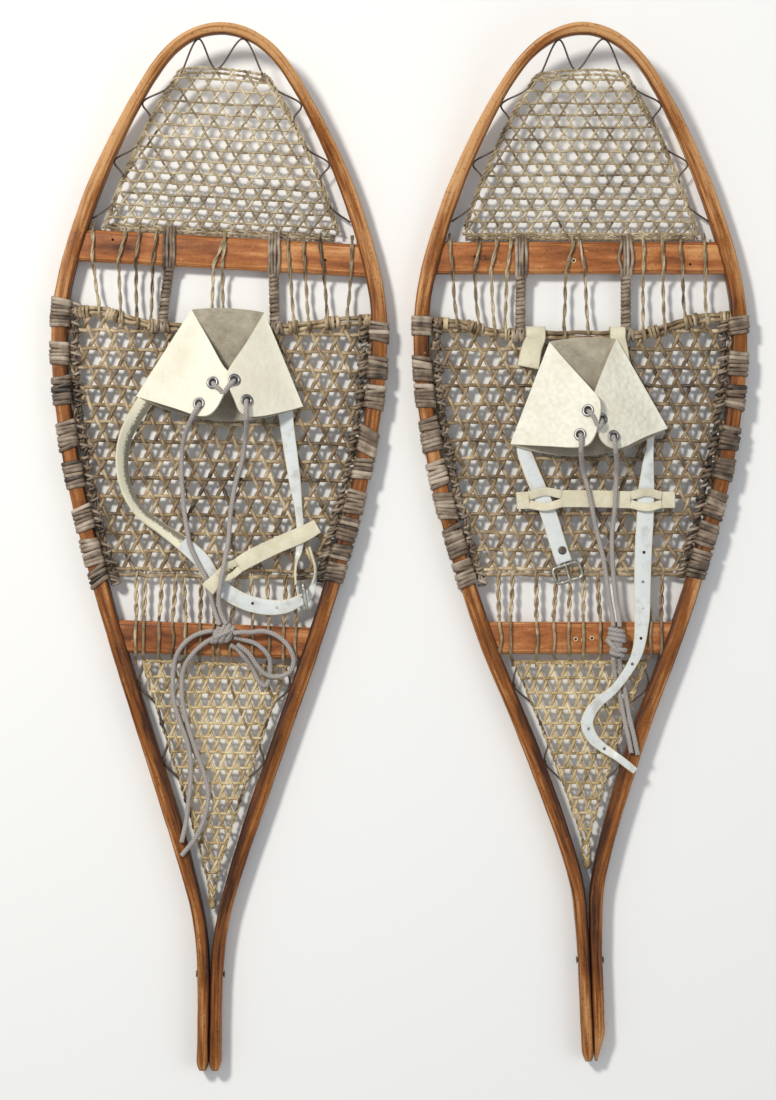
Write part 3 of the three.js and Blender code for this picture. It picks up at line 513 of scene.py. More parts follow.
def wood(name, dark, middle_tone, light):
    """Bent, varnished wood with its grain along U."""
    p = Paint(name)
    grain = p.noise(p.coords("UV", (14, 420, 1)), 1.0, 6, 0.6)
    streak = p.noise(p.coords("UV", (3.5, 90, 1)), 1.0, 3, 0.5)
    patch = p.noise(p.coords(), 11.0, 3, 0.55)
    tone = p.total((grain, 1.5), (streak, 1.0), (patch, 0.75), (p.shade(), 1.0), plus=-1.62)
    color = p.ramp(tone, (0.12, dark), (0.5, middle_tone), (0.85, light))
    specks = p.noise(p.coords(), 330.0, 2, 0.7)
    color = p.mix(p.ramp(specks, (0.55, 0), (0.72, 0.5)), color, dark)
    nicks = p.noise(p.coords("UV", (110, 620, 1)), 1.0, 2, 0.5)
    color = p.mix(p.ramp(nicks, (0.70, 0), (0.76, 0.6)), color, light)
    rough = p.ramp(patch, (0.3, 0.38), (0.7, 0.6))
    return p.finish(color, rough, grain, 0.35, 0.0004, Specular_IOR_Level=0.3)


def rawhide(name, dark, middle_tone, light):
    """Dried thong: fibres along U, uneven colour from strand to strand."""
    p = Paint(name)
    fibre = p.noise(p.coords("UV", (70, 900, 1)), 1.0, 4, 0.6)
    patch = p.noise(p.coords(), 75.0, 4, 0.6)
    broad = p.noise(p.coords(), 14.0, 2, 0.5)
    tone = p.total((fibre, 0.5), (patch, 0.9), (broad, 0.5), (p.shade(), 1.0), plus=-0.95)
    color = p.ramp(tone, (0.2, dark), (0.5, middle_tone), (0.8, light))
    return p.finish(color, p.ramp(patch, (0.3, 0.4), (0.7, 0.62)), p.math("ADD", fibre, patch),
                    0.5, 0.0005)


def pebbled(name, color, shadow, scale, depth):
    """Grained leather: rounded pebbles with creases between them, the creases painted darker as if in
    shade.
    """
    p = Paint(name)
    where = p.coords()
    bend = p.node("ShaderNodeVectorMath", operation="MULTIPLY_ADD")
    p.put(bend.inputs[0], p.node("ShaderNodeTexNoise", {
        "Vector": where, "Scale": 90.0, "Detail": 2.0}).outputs[1])
    p.put(bend.inputs[1], (0.006, 0.006, 0.006))
    p.put(bend.inputs[2], where)
    cells = p.node("ShaderNodeTexVoronoi", {"Vector": bend.outputs[0], "Scale": scale},
                   feature="SMOOTH_F1").outputs[0]
    fine = p.noise(where, 1500.0, 3, 0.6)
    crease = p.ramp(cells, (0.10, 1), (0.36, 0.75), (0.62, 0))
    stain = p.noise(where, 16.0, 4, 0.6)
    tint = p.mix(p.ramp(stain, (0.42, 0), (0.75, 0.55)), color, shadow)
    # painted shade: the creases between the pebbles are tinted towards the shadow colour; the stain
    # tint above is the leather's own
    painted_crease_shade = depth * 0.45
    tint = p.mix(p.total((crease, -painted_crease_shade), plus=painted_crease_shade), tint, shadow)
    folds = p.noise(where, 55.0, 3, 0.5)
    height = p.total((crease, 1.0), (fine, 0.25), (folds, 2.0))
    return p.finish(tint, 0.5, height, depth, 0.0009, Specular_IOR_Level=0.35)


def nap(name, color, shadow):
    """Suede: a soft, mottled, matt surface."""
    p = Paint(name)
    where = p.coords()
    fine = p.noise(where, 900.0, 5, 0.7)
    patch = p.noise(where, 45.0, 4, 0.65)
    tint = p.ramp(p.total((fine, 0.5), (patch, 0.6)), (0.35, shadow), (0.68, color))
    return p.finish(tint, 0.95, fine, 0.6, 0.0006, Sheen_Weight=0.35)


def rolled_leather(name, edge, face):
    """A strap rolled on its side: its pale cut edge, and beyond it its rough face, painted dark to
    stand for the shade on it.
    """
    p = Paint(name)
    uv = p.node("ShaderNodeSeparateXYZ", {"Vector": p.coords("UV")})
    fuzz = p.noise(p.coords(), 420.0, 4, 0.7)
    # painted shade: past the pale edge the strap's face takes the dark face colour
    tint = p.ramp(p.total((uv.outputs[1], 25.0), (fuzz, 0.3)), (0.64, edge), (0.70, face))
    return p.finish(tint, 0.95, fuzz, 0.7, 0.0007, Sheen_Weight=0.3)


def smooth_leather(name, color, shadow):
    """The worn grain side of a strap: faint creases across, small scuffs."""
    p = Paint(name)
    where = p.coords()
    creases = p.noise(p.coords("UV", (420, 60, 1)), 1.0, 3, 0.6)
    scuff = p.noise(where, 60.0, 5, 0.65)
    fine = p.noise(where, 1100.0, 2, 0.5)
    tint = p.mix(p.ramp(scuff, (0.5, 0), (0.7, 0.8)), color, shadow)
    tint = p.mix(p.ramp(creases, (0.25, 0.4), (0.42, 0)), tint, shadow)
    return p.finish(tint, 0.42, p.total((creases, 0.6), (fine, 0.3)), 0.35, 0.0004)


def braid(name, dark, light):
    """Braided cord: two sets of yarns that cross round it."""
    p = Paint(name)
    uv = p.node("ShaderNodeSeparateXYZ", {"Vector": p.coords("UV")})
    along, around = 0.0029, 0.0044              # the pattern's two periods
    u = p.math("MULTIPLY", uv.outputs[0], 2 * math.pi / along)
    v = p.math("MULTIPLY", uv.outputs[1], 2 * math.pi / around)
    one = p.math("SINE", p.math("ADD", u, v))
    two = p.math("SINE", p.math("SUBTRACT", u, v))
    yarns = p.total((p.math("MAXIMUM", one, two), 0.5), plus=0.5)
    fuzz = p.noise(p.coords(), 900.0, 3, 0.6)
    patch = p.noise(p.coords(), 40.0, 3, 0.6)
    color = p.ramp(p.total((yarns, 0.46), (fuzz, 0.35), (patch, 0.3)), (0.25, dark), (0.75, light))
    return p.finish(color, 0.85, yarns, 0.8, 0.0005, Sheen_Weight=0.15)


def metal(name, color, worn, rough):
    """Metal that is worn lighter in patches."""
    p = Paint(name)
    where = p.coords()
    patch = p.noise(where, 260.0, 4, 0.6)
    tint = p.ramp(patch, (0.35, color), (0.7, worn))
    return p.finish(tint, p.ramp(patch, (0.3, rough), (0.7, rough + 0.22)),
                    p.noise(where, 900.0, 2, 0.5), 0.12, 0.0002, Metallic=1.0)


M = SimpleNamespace(
    frame=wood("frame_wood", (0.040, 0.010, 0.002), (0.26, 0.082, 0.011), (0.58, 0.31, 0.125)),
    bar=wood("crossbar_wood", (0.080, 0.020, 0.006), (0.38, 0.128, 0.035), (0.66, 0.34, 0.13)),
    toe=rawhide("toe_rawhide", (0.065, 0.042, 0.021), (0.35, 0.265, 0.15), (0.74, 0.64, 0.45)),
    web=rawhide("body_rawhide", (0.032, 0.019, 0.010), (0.25, 0.168, 0.085), (0.66, 0.53, 0.34)),
    tail=rawhide("tail_rawhide", (0.10, 0.060, 0.022), (0.50, 0.365, 0.175), (0.80, 0.67, 0.42)),
    wrap=rawhide("wrap_rawhide", (0.028, 0.019, 0.013), (0.19, 0.135, 0.090), (0.48, 0.40, 0.31)),
    thong=rawhide("dark_thong", (0.02, 0.013, 0.009), (0.07, 0.045, 0.03), (0.15, 0.11, 0.08)),
    ivory=pebbled("ivory_leather", (0.82, 0.79, 0.66), (0.60, 0.54, 0.39), 230.0, 0.22),
    pebble=pebbled("pebbled_leather", (0.82, 0.80, 0.69), (0.60, 0.55, 0.41), 185.0, 0.6),
    suede=nap("suede", (0.47, 0.42, 0.32), (0.19, 0.16, 0.11)),
    cream=nap("cream_suede", (0.78, 0.73, 0.56), (0.54, 0.47, 0.32)),
    # the rolled strap's dark face colour is painted shade
    rolled=rolled_leather("rolled_strap", (0.80, 0.76, 0.58), (0.21, 0.19, 0.135)),
    strap=smooth_leather("strap_leather", (0.67, 0.70, 0.69), (0.45, 0.44, 0.39)),
    lace=braid("lace_cord", (0.15, 0.13, 0.12), (0.42, 0.38, 0.355)),
    steel=metal("eyelet_steel", (0.16, 0.16, 0.165), (0.42, 0.42, 0.42), 0.3),
    buckle=metal("buckle_metal", (0.33, 0.33, 0.27), (0.62, 0.62, 0.56), 0.3),
    rivet=metal("rivet_steel", (0.10, 0.075, 0.06), (0.22, 0.19, 0.16), 0.45),
)


def settle(piece, body, slot, *nodes):
    """Rides a piece on its body and hides the CAD nodes that it stands for; slot is not used."""
    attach(piece, body)
    if nodes:
        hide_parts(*nodes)


def finish(pile, name, slot, node, *materials, body=None):
    """Builds a pile's piece and settles it, in the place of a CAD node unless node is None."""
    shoe = pile.shoe
    nodes = [f"{shoe.name}_{node}"] if node else []
    settle(pile.build(f"{shoe.name}_{name}", *materials), body or shoe.body, slot, *nodes)


def bridge(piece, shoe, slot, *nodes):
    """A flexible piece, its placement baked into its mesh, in the place of the CAD nodes given."""
    high, low = shoe.blend_y
    start, end = to_row(shoe, [(0, high, 20), (0, low, 20)])
    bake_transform(piece)
    if nodes:
        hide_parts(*nodes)


# ---- camera ----------------------------------------------------------------------------------
CAMERA_HEIGHT = 3.0
NETTING_HEIGHT = 0.012
FRAME_HEIGHT = 1.156            # metres that the frame's long side covers at the netting
OFF_MIDDLE = -0.0108            # the photo's middle lies left of the middle between the shoes
camera_data = bpy.data.cameras.new("camera")
camera_data.sensor_fit = "AUTO"
camera_data.sensor_width = 36.0
camera_data.lens = camera_data.sensor_width * (CAMERA_HEIGHT - NETTING_HEIGHT) / FRAME_HEIGHT
camera = add_object("camera", camera_data)
camera.location = ((LEFT.origin[0] + RIGHT.origin[0]) / 2 + OFF_MIDDLE, 0.0, CAMERA_HEIGHT)
bpy.context.scene.camera = camera


# ---- laces -----------------------------------------------------------------------------------
LACES = {
    "left": {
        "strand_a": [(-26, 136, 47.6), (-29, 130, 42), (-33, 121, 33), (-36.5, 107, 24),
                     (-37.5, 90, 19.5), (-37, 73, 18.6), (-35, 50, 18.6), (-33, 34, 19),
                     (-30, 18, 21.4), (-27, 4, 21.5), (-18, -15, 21.5), (-10, -29, 21.5),
                     (-5, -47, 21.6), (-1, -61, 23.2), (5.4, -78.2, 27.4)],
        "strand_b": [(31.5, 136.6, 53.4), (31.2, 129, 44), (30, 119, 31), (28, 106, 22.5),
                     (25, 90, 19), (20, 73, 18.6), (16, 50, 18.6), (14, 33, 18.8), (13, 11, 22),
                     (10, -8, 27), (7.5, -24, 30), (5, -40, 30), (4, -54, 27.5), (7, -67, 27),
                     (12.4, -77.4, 29)],
        "bow_a": [(19.8, -86, 31), (29, -85, 31), (38, -85, 29.6), (50, -83.5, 29.4),
                  (63, -87, 29.4), (75, -96, 29), (82, -108, 27), (83, -117, 25),
                  (79, -126, 24.2), (68, -131, 24.2), (55, -129.5, 24.2), (46, -121, 27),
                  (36, -107, 29.5), (24, -97.5, 31)],
        "bow_b": [(20.2, -90.6, 26), (30, -93, 24.2), (43, -97, 24.1), (53, -105, 24),
                  (57.6, -112, 22), (58.5, -121, 19), (58, -132, 18.6), (54, -141, 18.6),
                  (47, -137, 18.6), (40.5, -124, 19.4), (35, -115.5, 21.8), (29.5, -109, 24),
                  (24, -103, 24.4), (16.5, -98.6, 26)],
        "tail_a": [(-1.6, -84, 28), (-10, -85.5, 24.6), (-20, -89, 24.2), (-30, -96, 24.2),
                   (-37, -105, 23), (-41.5, -116, 19.6), (-43.5, -134, 18.6), (-42, -159, 18.6),
                   (-35, -181, 18.6), (-27, -203, 18.6), (-23.5, -222, 18.6), (-23.5, -245, 18.6),
                   (-25.5, -266, 18.6), (-27, -283, 21), (-29.5, -297, 24.9), (-31.5, -306, 25)],
        "tail_b": [(-1.6, -92, 27), (-10, -97, 24.6), (-19, -104.5, 24.2), (-25.5, -112.5, 24.6),
                   (-30.2, -120, 21.8), (-33.5, -131, 18.6), (-34, -146, 18.6), (-32, -165, 18.6),
                   (-26, -187, 18.6), (-17, -213, 18.6), (-9, -235, 18.6), (-4.5, -254, 18.6),
                   (-6.5, -274, 18.6), (-12, -291, 19.4), (-19, -304, 23.6), (-31.5, -320, 25)],
    },
    "right": {
        "strand_a": [(-2, 102.5, 57), (-1.3, 98, 51), (-0.2, 92, 41), (1.5, 86, 32),
                     (4, 77, 25.2), (7, 67, 24.4), (10, 53, 24.4), (12, 44, 24.4),
                     (13.6, 36, 22.4), (16, 26, 19), (19, 13, 18.6), (24, -8, 18.6),
                     (27.5, -30, 18.6), (30.5, -52, 18.8), (33, -67, 22), (34, -80.4, 27)],
        "strand_b": [(34.4, 101.5, 53), (35.4, 97, 47), (36.6, 90, 37), (37, 82, 28),
                     (37, 74, 24.6), (36.5, 63, 24.4), (36, 52, 24.4), (35.6, 44, 24.2),
                     (35, 36, 22.2), (34, 26, 19), (33, 8, 18.6), (34.5, -25, 18.6),
                     (37.5, -54, 18.8), (39.6, -67, 22.5), (40.4, -80.4, 28)],
        "tail_a": [(34, -112, 26), (34.8, -119, 22), (36, -128, 18.8), (39, -142, 18.6),
                   (42, -156, 18.6), (45.5, -174, 18.8), (48, -187, 22.6), (49.8, -195, 24.8),
                   (53, -212, 25)],
        "tail_b": [(39.8, -112, 25), (41.2, -118.5, 20.6), (43, -127, 18.6), (46.5, -146, 18.6),
                   (49, -160, 18.6), (51, -173, 20), (53, -183, 23.8), (54.6, -190, 25),
                   (59.6, -214, 25)],
    },
}
FLEXING = ("strand_a", "strand_b")


def make_lace(shoe, end, route):
    """One run of braided cord, in the place of its CAD node."""
    path = curve(route, 1.6)
    pile = Pile(shoe)
    tube(pile, path, LACE_D * (1 + 0.03 * wobble(lengths(path), 21)), sides=10, up=None)
    piece = pile.build(f"{shoe.name}_{end}_cord", M.lace)
    node = f"{shoe.name}_lace_{end}"
    line = to_row(shoe, path)
    if end in FLEXING:
        bridge(piece, shoe, "lace_cord", node)
    else:
        settle(piece, shoe.body, "lace_cord", node)


for shoe in (LEFT, RIGHT):
    for end, route in LACES[shoe.name].items():
        make_lace(shoe, end, route)


# ---- wooden frame ----------------------------------------------------------------------------
def rounded_section(half_wide, half_high, radius, arc=4):
    """Corners of a rounded rectangle, counter-clockwise, for arrays of half widths."""
    out = []
    for cx, cz, start in ((1, 1, 0), (-1, 1, 90), (-1, -1, 180), (1, -1, 270)):
        for k in range(arc):
            a = math.radians(start + 90 * k / (arc - 1))
            out.append((cx * (half_wide - radius) + radius * math.cos(a),
                        cz * (half_high - radius) + radius * math.sin(a)))
    return out


def make_rails(shoe):
    """One bent strip from the left tail round the toe to the right tail."""
    outer, inner = rail_lines(shoe, 3.0)
    end_y = outer[-1, 1]
    both_outer = np.vstack([(outer * (-1, 1))[::-1], outer[1:]])
    both_inner = np.vstack([(inner * (-1, 1))[::-1], inner[1:]])
    centre, half = (both_outer + both_inner) / 2, (both_outer - both_inner) / 2
    half_wide = np.linalg.norm(half, axis=1)
    across = half / half_wide[:, None]
    sign = np.sign(centre[:, 0] + 1e-9)
    to_end = centre[:, 1] - end_y
    travel = lengths(centre)
    half_wide = half_wide + 0.22 * wobble(travel, 140) + 0.12 * wobble(travel, 37)
    blunt = np.sqrt(np.clip(to_end / ROUNDED_END, 0.03, 1))
    half_wide = half_wide * np.where(to_end < ROUNDED_END, 0.45 + 0.55 * blunt, 1)
    half_high = RAIL_HALF * np.where(to_end < ROUNDED_END, 0.6 + 0.4 * blunt, 1)
    if shoe.bend:
        worn = smoothstep(-to_end, -34, 0) * (sign > 0)
        centre = centre - across * (worn * 4.0)[:, None]
        half_wide = half_wide * (1 - 0.62 * worn)
        half_high = half_high * (1 - 0.35 * worn)
    rings = np.zeros((len(centre), 16, 3))
    shade = np.zeros((len(centre), 16))
    toe = smoothstep(centre[:, 1], 120, 480)
    for i in range(len(centre)):
        radius = min(3.2, half_wide[i] * 0.7, half_high[i] * 0.7)
        for j, (a, b) in enumerate(rounded_section(half_wide[i], half_high[i], radius)):
            rings[i, j, :2] = centre[i] + across[i] * a
            rings[i, j, 2] = RAIL_MIDDLE + b
            # painted shade: the inner side of each rail is coloured darker, standing for the shade
            # that falls on it
            shaded_inner_side = smoothstep(-a, half_wide[i] * 0.3, half_wide[i] * 0.98)
            shade[i, j] = 0.47 + 0.36 * toe[i] - 0.36 * shaded_inner_side
    tips = smoothstep(-to_end, -14, 2)
    if shoe.bend:
        tips = np.maximum(tips, smoothstep(-to_end, -40, -20) * (sign > 0) * 0.8)
    shade += (0.22 * tips)[:, None]
    rings = tail_bend(shoe, toe_lift(rings.reshape(-1, 3))).reshape(rings.shape)
    pile = Pile(shoe)
    skin(pile, rings, lengths(centre), np.arange(16) * 4.0, shade)
    finish(pile, "rails", "frame_wood", "frame", M.frame)


def make_bar(shoe, which, holes, rimmed):
    """A crossbar with rounded edges, let into the rails."""
    bar = shoe.toe_bar if which == "toe" else shoe.heel_bar
    line = inset(shoe, -3.0)
    reach = x_at(line, bar[0] - HALF_BAR if which == "toe" else bar[0] + HALF_BAR)
    x = np.linspace(-reach, reach, 110)
    tilt = math.radians(bar[1])
    rings = np.zeros((len(x), 24, 3))
    for i, xi in enumerate(x):
        for j, (a, b) in enumerate(rounded_section(HALF_BAR, BAR_TOP - NET_Z, 5.6, 6)):
            y = bar_y(bar, xi) + a * math.cos(tilt)
            near = x_at(line, y)
            rings[i, j] = (np.clip(xi - a * math.sin(tilt), -near, near), y, NET_Z + b)
    pile = Pile(shoe)
    worn = 0.5 + 0.08 * wobble(x, 130)
    skin(pile, rings, x + 400, np.arange(24) * 3.6, worn)
    piece = pile.build(f"{shoe.name}_{which}_bar", M.bar)
    spots = [(hx, bar_y(bar, hx) + dy, NET_Z) for hx, dy in holes]
    drill(piece, shoe, spots, BAR_HOLE)
    settle(piece, shoe.body, "crossbar_wood", f"{shoe.name}_{which}_crossbar")
    rims = Pile(shoe)
    a = circle(16)
    for hx, hy, _ in spots[:rimmed]:
        ring = np.column_stack([hx + 1.9 * np.cos(a), hy + 1.9 * np.sin(a),
                                np.full(16, BAR_TOP + 0.05)])
        tube(rims, ring, 0.9, 0.5, sides=6, closed=True, shade=0.72)
    finish(rims, f"{which}_bar_hole_rims", "tail_rawhide", None, M.tail)


BAR_HOLES = {
    "left": [("toe", [(3, -1), (-113, 7), (110, -2)], 1), ("heel", [(-2, 4), (62, 8)], 1)],
    "right": [("toe", [(-7, -3), (-111, 1), (115, -7)], 1), ("heel", [(12, 0), (-5, -1), (3, -2)], 3)],
}


# ---- netting ---------------------------------------------------------------------------------
def spans(region, base, way):
    """Where the line base + t way lies inside a closed outline, as pairs of t."""
    a = region - base
    b = np.roll(a, -1, axis=0)
    side_a = a[:, 0] * way[1] - a[:, 1] * way[0]
    side_b = b[:, 0] * way[1] - b[:, 1] * way[0]
    crossing = (side_a > 0) != (side_b > 0)
    k = side_a[crossing] / (side_a[crossing] - side_b[crossing])
    hit = a[crossing] + (b[crossing] - a[crossing]) * k[:, None]
    t = np.sort(hit @ way)
    return list(zip(t[::2], t[1::2]))


def thong(pile, base, way, span, wave, phase, style, place):
    """One thong of a net, going over and under the ones it crosses."""
    start, end = span
    if end - start < style.wide * 1.5:
        return
    t = np.linspace(start, end, max(4, round((end - start) / style.step)))
    sway = style.jitter * wobble(t, 60 + rng.uniform(0, 50)) + rng.normal(0, style.jitter * 0.6)
    side = np.array((-way[1], way[0]))
    path = np.zeros((len(t), 3))
    path[:, :2] = base + way * t[:, None] + side * sway[:, None]
    swing = np.cos(2 * math.pi * t / wave) * phase
    path[:, 2] = NET_Z + style.lift * swing + 0.25 * wobble(t, 33)
    wide = style.wide * (1 + 0.13 * np.cos(4 * math.pi * t / wave + math.pi)
                         + 0.10 * wobble(t, 27))
    tube(pile, place(path), wide, style.thick, sides=style.sides,
         shade=0.5 + rng.normal(0, 0.06) + 0.05 * wobble(t, 45))


def weave(pile, region, origin, style, tilt=0.0, shape=lambda p: p):
    """A three-way net: level rows and two sets of slanting thongs, each over one, under one."""
    row, half, angle = style.row, style.half, math.radians(tilt)
    region = turned(region, -angle)
    level = np.array((1.0, 0.0))

    def place(path):
        return shape(turned(path, angle))

    low, high = region.min(axis=0), region.max(axis=0)
    ox, oy = origin
    slant = math.hypot(half, row)
    rows = range(math.floor((low[1] - oy) / row), math.ceil((high[1] - oy) / row) + 1)
    for m in rows:
        base = np.array((ox + m * half, oy + m * row))
        for span in spans(region, base, level):
            thong(pile, base, level, span, 2 * half, 1, style, place)
    reach = (high[0] - low[0]) + (high[1] - low[1]) * half / row
    for k in range(-math.ceil(reach / (2 * half)), math.ceil(reach / (2 * half)) + 1):
        for sign, offset in ((1, 0.0), (-1, half)):
            base = np.array((ox + offset + 2 * half * k, oy))
            way = np.array((sign * half, row)) / slant
            for span in spans(region, base, way):
                thong(pile, base, way, span, slant, -sign, style, place)


def outline_of(right, *top):
    """A closed outline from its right-hand side, top to bottom, and its left-right mirror."""
    return np.vstack([right, (right * (-1, 1))[::-1], *top])


# spacing of the level thongs and of half a mesh along them, then the thongs themselves
BODY_STYLE = SimpleNamespace(row=19.2, half=9.7, wide=3.9, thick=2.7, lift=1.3, step=2.0,
                             sides=8, jitter=0.9)
TOE_STYLE = SimpleNamespace(row=12.2, half=8.2, wide=2.4, thick=1.9, lift=0.85, step=1.7,
                            sides=6, jitter=0.7)
TAIL_STYLE = SimpleNamespace(row=15.8, half=6.6, wide=2.9, thick=2.1, lift=0.95, step=1.9,
                             sides=6, jitter=0.6)


def toe_region(shoe):
    """The toe netting's outline, and its right-hand side."""
    line = inset(shoe, 15.0)
    line = line[line[:, 1] < 508 - (line[:, 0] / 16) ** 2]
    start = shoe.toe_bar[0] + HALF_BAR + 7
    right = line[line[:, 1] > start + 2]
    right = np.vstack([right, (x_at(line, start), start)])
    region = outline_of(right)
    edge = np.abs(region[:, 1] - start) < 1
    region[edge, 1] = bar_y(shoe.toe_bar, region[edge, 0]) + HALF_BAR + 7
    return region, right


def make_toe_web(shoe):
    """The toe netting, its border, and its thongs over the toe bar."""
    region, right = toe_region(shoe)
    pile = Pile(shoe)
    weave(pile, region, (2.0, 345.0), TOE_STYLE, shoe.toe_bar[1], toe_lift)
    border = np.vstack([right[::-1][:-1], (right * (-1, 1))])
    border = curve(np.column_stack([border, np.full(len(border), NET_Z)])[::3], 2.0)
    for radius in (0.0, 2.4):
        path = border.copy()
        path[:, :2] *= 1 - radius / 260
        path[:, 2] += wobble(lengths(path), 30) * 0.5
        ply(pile, toe_lift(path), 1.7, 13.0, shade=0.5)
    x = np.linspace(region[:, 0].min() + 4, region[:, 0].max() - 4, 120)
    for drop in (0.0, 3.4):
        low = np.column_stack([x, bar_y(shoe.toe_bar, x) + HALF_BAR + 6.5 - drop,
                               np.full(len(x), NET_Z + 0.8 * np.sin(x / 6))])
        ply(pile, low, 1.9, 15.0, shade=0.46)
    for top_x, mid_x, end_x in shoe.over_toe:
        over_toe_bar(pile, shoe, top_x, mid_x, end_x)
    finish(pile, "toe_net", "toe_rawhide", "toe_webbing", M.toe)


def over_toe_bar(pile, shoe, top_x, mid_x, end_x):
    """A thong from the toe netting over the toe bar, down to the toe cord and round it."""
    bar = shoe.toe_bar
    front = bar_y(bar, top_x) + HALF_BAR
    back = bar_y(bar, mid_x) - HALF_BAR
    cord = cord_y(shoe, end_x)
    path = [(top_x, front + 9, NET_Z - 1), (top_x, front + 3.6, NET_Z + 1),
            (top_x, front + 1.6, BAR_TOP - 1), (top_x, front - 3, BAR_TOP + 1.6),
            ((top_x + mid_x) / 2, (front + back) / 2, BAR_TOP + 1.9),
            (mid_x, back + 3, BAR_TOP + 1.6), (mid_x, back - 1.7, BAR_TOP - 1.5),
            (mid_x + (end_x - mid_x) * 0.2, back - 7, NET_Z + 1),
            ((mid_x + end_x) / 2, (back + cord) / 2, NET_Z + rng.normal(0, 0.6)),
            (end_x, cord + 8, NET_Z + 4.2), (end_x + 1, cord, NET_Z + 7.4),
            (end_x + 1.5, cord - 6.5, NET_Z + 2.5), (end_x + 1.5, cord - 6, NET_Z - 3)]
    route = curve(path, 1.8)
    route[:, 0] += 0.35 * wobble(lengths(route), 60)
    ply(pile, route, 2.3, 36.0, sides=7, up=None, shade=0.42 + rng.normal(0, 0.05), gap=0.4)


def body_region(shoe):
    """The body netting's outline, and the y of its rear edge."""
    line = inset(shoe, -1.5)
    x = np.linspace(-150, 150, 61)
    dip = np.where(np.abs(x) < 48, 9.0, 4.0)
    top = np.column_stack([x, cord_y(shoe, x) - dip])
    bottom_y = bar_y(shoe.heel_bar, 0) + HALF_BAR + 50
    right_top = top[-1, 1]
    ys = np.arange(right_top - 3, bottom_y, -5.0)
    right = np.column_stack([x_at(line, ys), ys])
    return outline_of(right, top), bottom_y


def make_body_web(shoe):
    """The body netting and its thongs over the heel bar."""
    region, bottom_y = body_region(shoe)
    pile = Pile(shoe)
    weave(pile, region, (0.0, bottom_y + 6), BODY_STYLE)
    heel_thongs(pile, shoe, bottom_y)
    reach = x_at(inset(shoe, 0), bottom_y)
    x = np.linspace(-reach, reach, 130)
    low = np.column_stack([x, np.full(len(x), bottom_y) + 0.9 * wobble(x, 50),
                           NET_Z + 1.1 * np.sin(x * math.pi / BODY_STYLE.half)])
    tube(pile, low, 4.4, 2.8, shade=0.5)
    finish(pile, "body_net", "body_rawhide", "body_webbing", M.web)


def heel_thongs(pile, shoe, bottom_y):
    """Twisted thongs from the body netting over the heel bar to the tail netting."""
    for x in shoe.over_heel:
        bar = bar_y(shoe.heel_bar, x)
        front, back = bar + HALF_BAR, bar - HALF_BAR
        lean = rng.normal(0, 2.2)
        drop = [(x + lean, bottom_y + 4, NET_Z), (x + lean * 0.6, (bottom_y + front) / 2, NET_Z),
                (x, front + 5, NET_Z + 1.5)]
        ply(pile, curve(drop, 1.6), 2.7, 27.0, sides=6, shade=0.56, up=None)
        over = [(x, front + 7, NET_Z + 0.5), (x, front + 2, BAR_TOP - 1),
                (x, front - 3, BAR_TOP + 1.5), (x + rng.normal(0, 1), bar, BAR_TOP + 1.8),
                (x, back + 3, BAR_TOP + 1.5), (x, back - 1.8, BAR_TOP - 1),
                (x + lean, back - 7, NET_Z), (x + lean, back - 13, NET_Z - 1)]
        route = curve(over, 1.8)
        tube(pile, route, 3.3, 2.3, sides=7, up=None, shade=0.5 + rng.normal(0, 0.05))


def tail_region(shoe):
    """The tail netting's outline, and its right-hand side."""
    start = shoe.heel_bar[0] - HALF_BAR - 8
    line = inset(shoe, 11.0)
    ys = np.arange(start, shoe.tail_web_end, -6.0)
    right = np.column_stack([np.maximum(x_at(line, ys), 1.5), ys])
    right = right[right[:, 0] > 3]
    right = np.vstack([right, (2.0, shoe.tail_web_end)])
    return outline_of(right), right


def make_tail_web(shoe):
    """The tail netting, its border, and the knot at its end."""
    region, right = tail_region(shoe)
    pile = Pile(shoe)
    weave(pile, region, (0.0, -118.0), TAIL_STYLE, 0.0, lambda p: tail_bend(shoe, p))
    border = np.column_stack([right, np.full(len(right), NET_Z)])
    for side in (-1, 1):
        path = curve(border * (side, 1, 1), 2.0)
        path[:, 0] += 0.8 * wobble(lengths(path), 40)
        ply(pile, tail_bend(shoe, path), 1.9, 14.0, shade=0.42)
    x = np.linspace(-right[0, 0], right[0, 0], 80)
    top = np.column_stack([x, bar_y(shoe.heel_bar, x) - HALF_BAR - 8,
                           NET_Z + 0.8 * np.sin(x / 5)])
    ply(pile, top, 2.0, 13.0, shade=0.48)
    knot_at = tail_bend(shoe, np.array([(1.0, shoe.tail_web_end + 1, NET_Z)]))[0]
    lump(pile, knot_at, (4.2, 6.0, 3.4), shade=0.36)
    finish(pile, "tail_net", "tail_rawhide", "tail_webbing", M.tail)


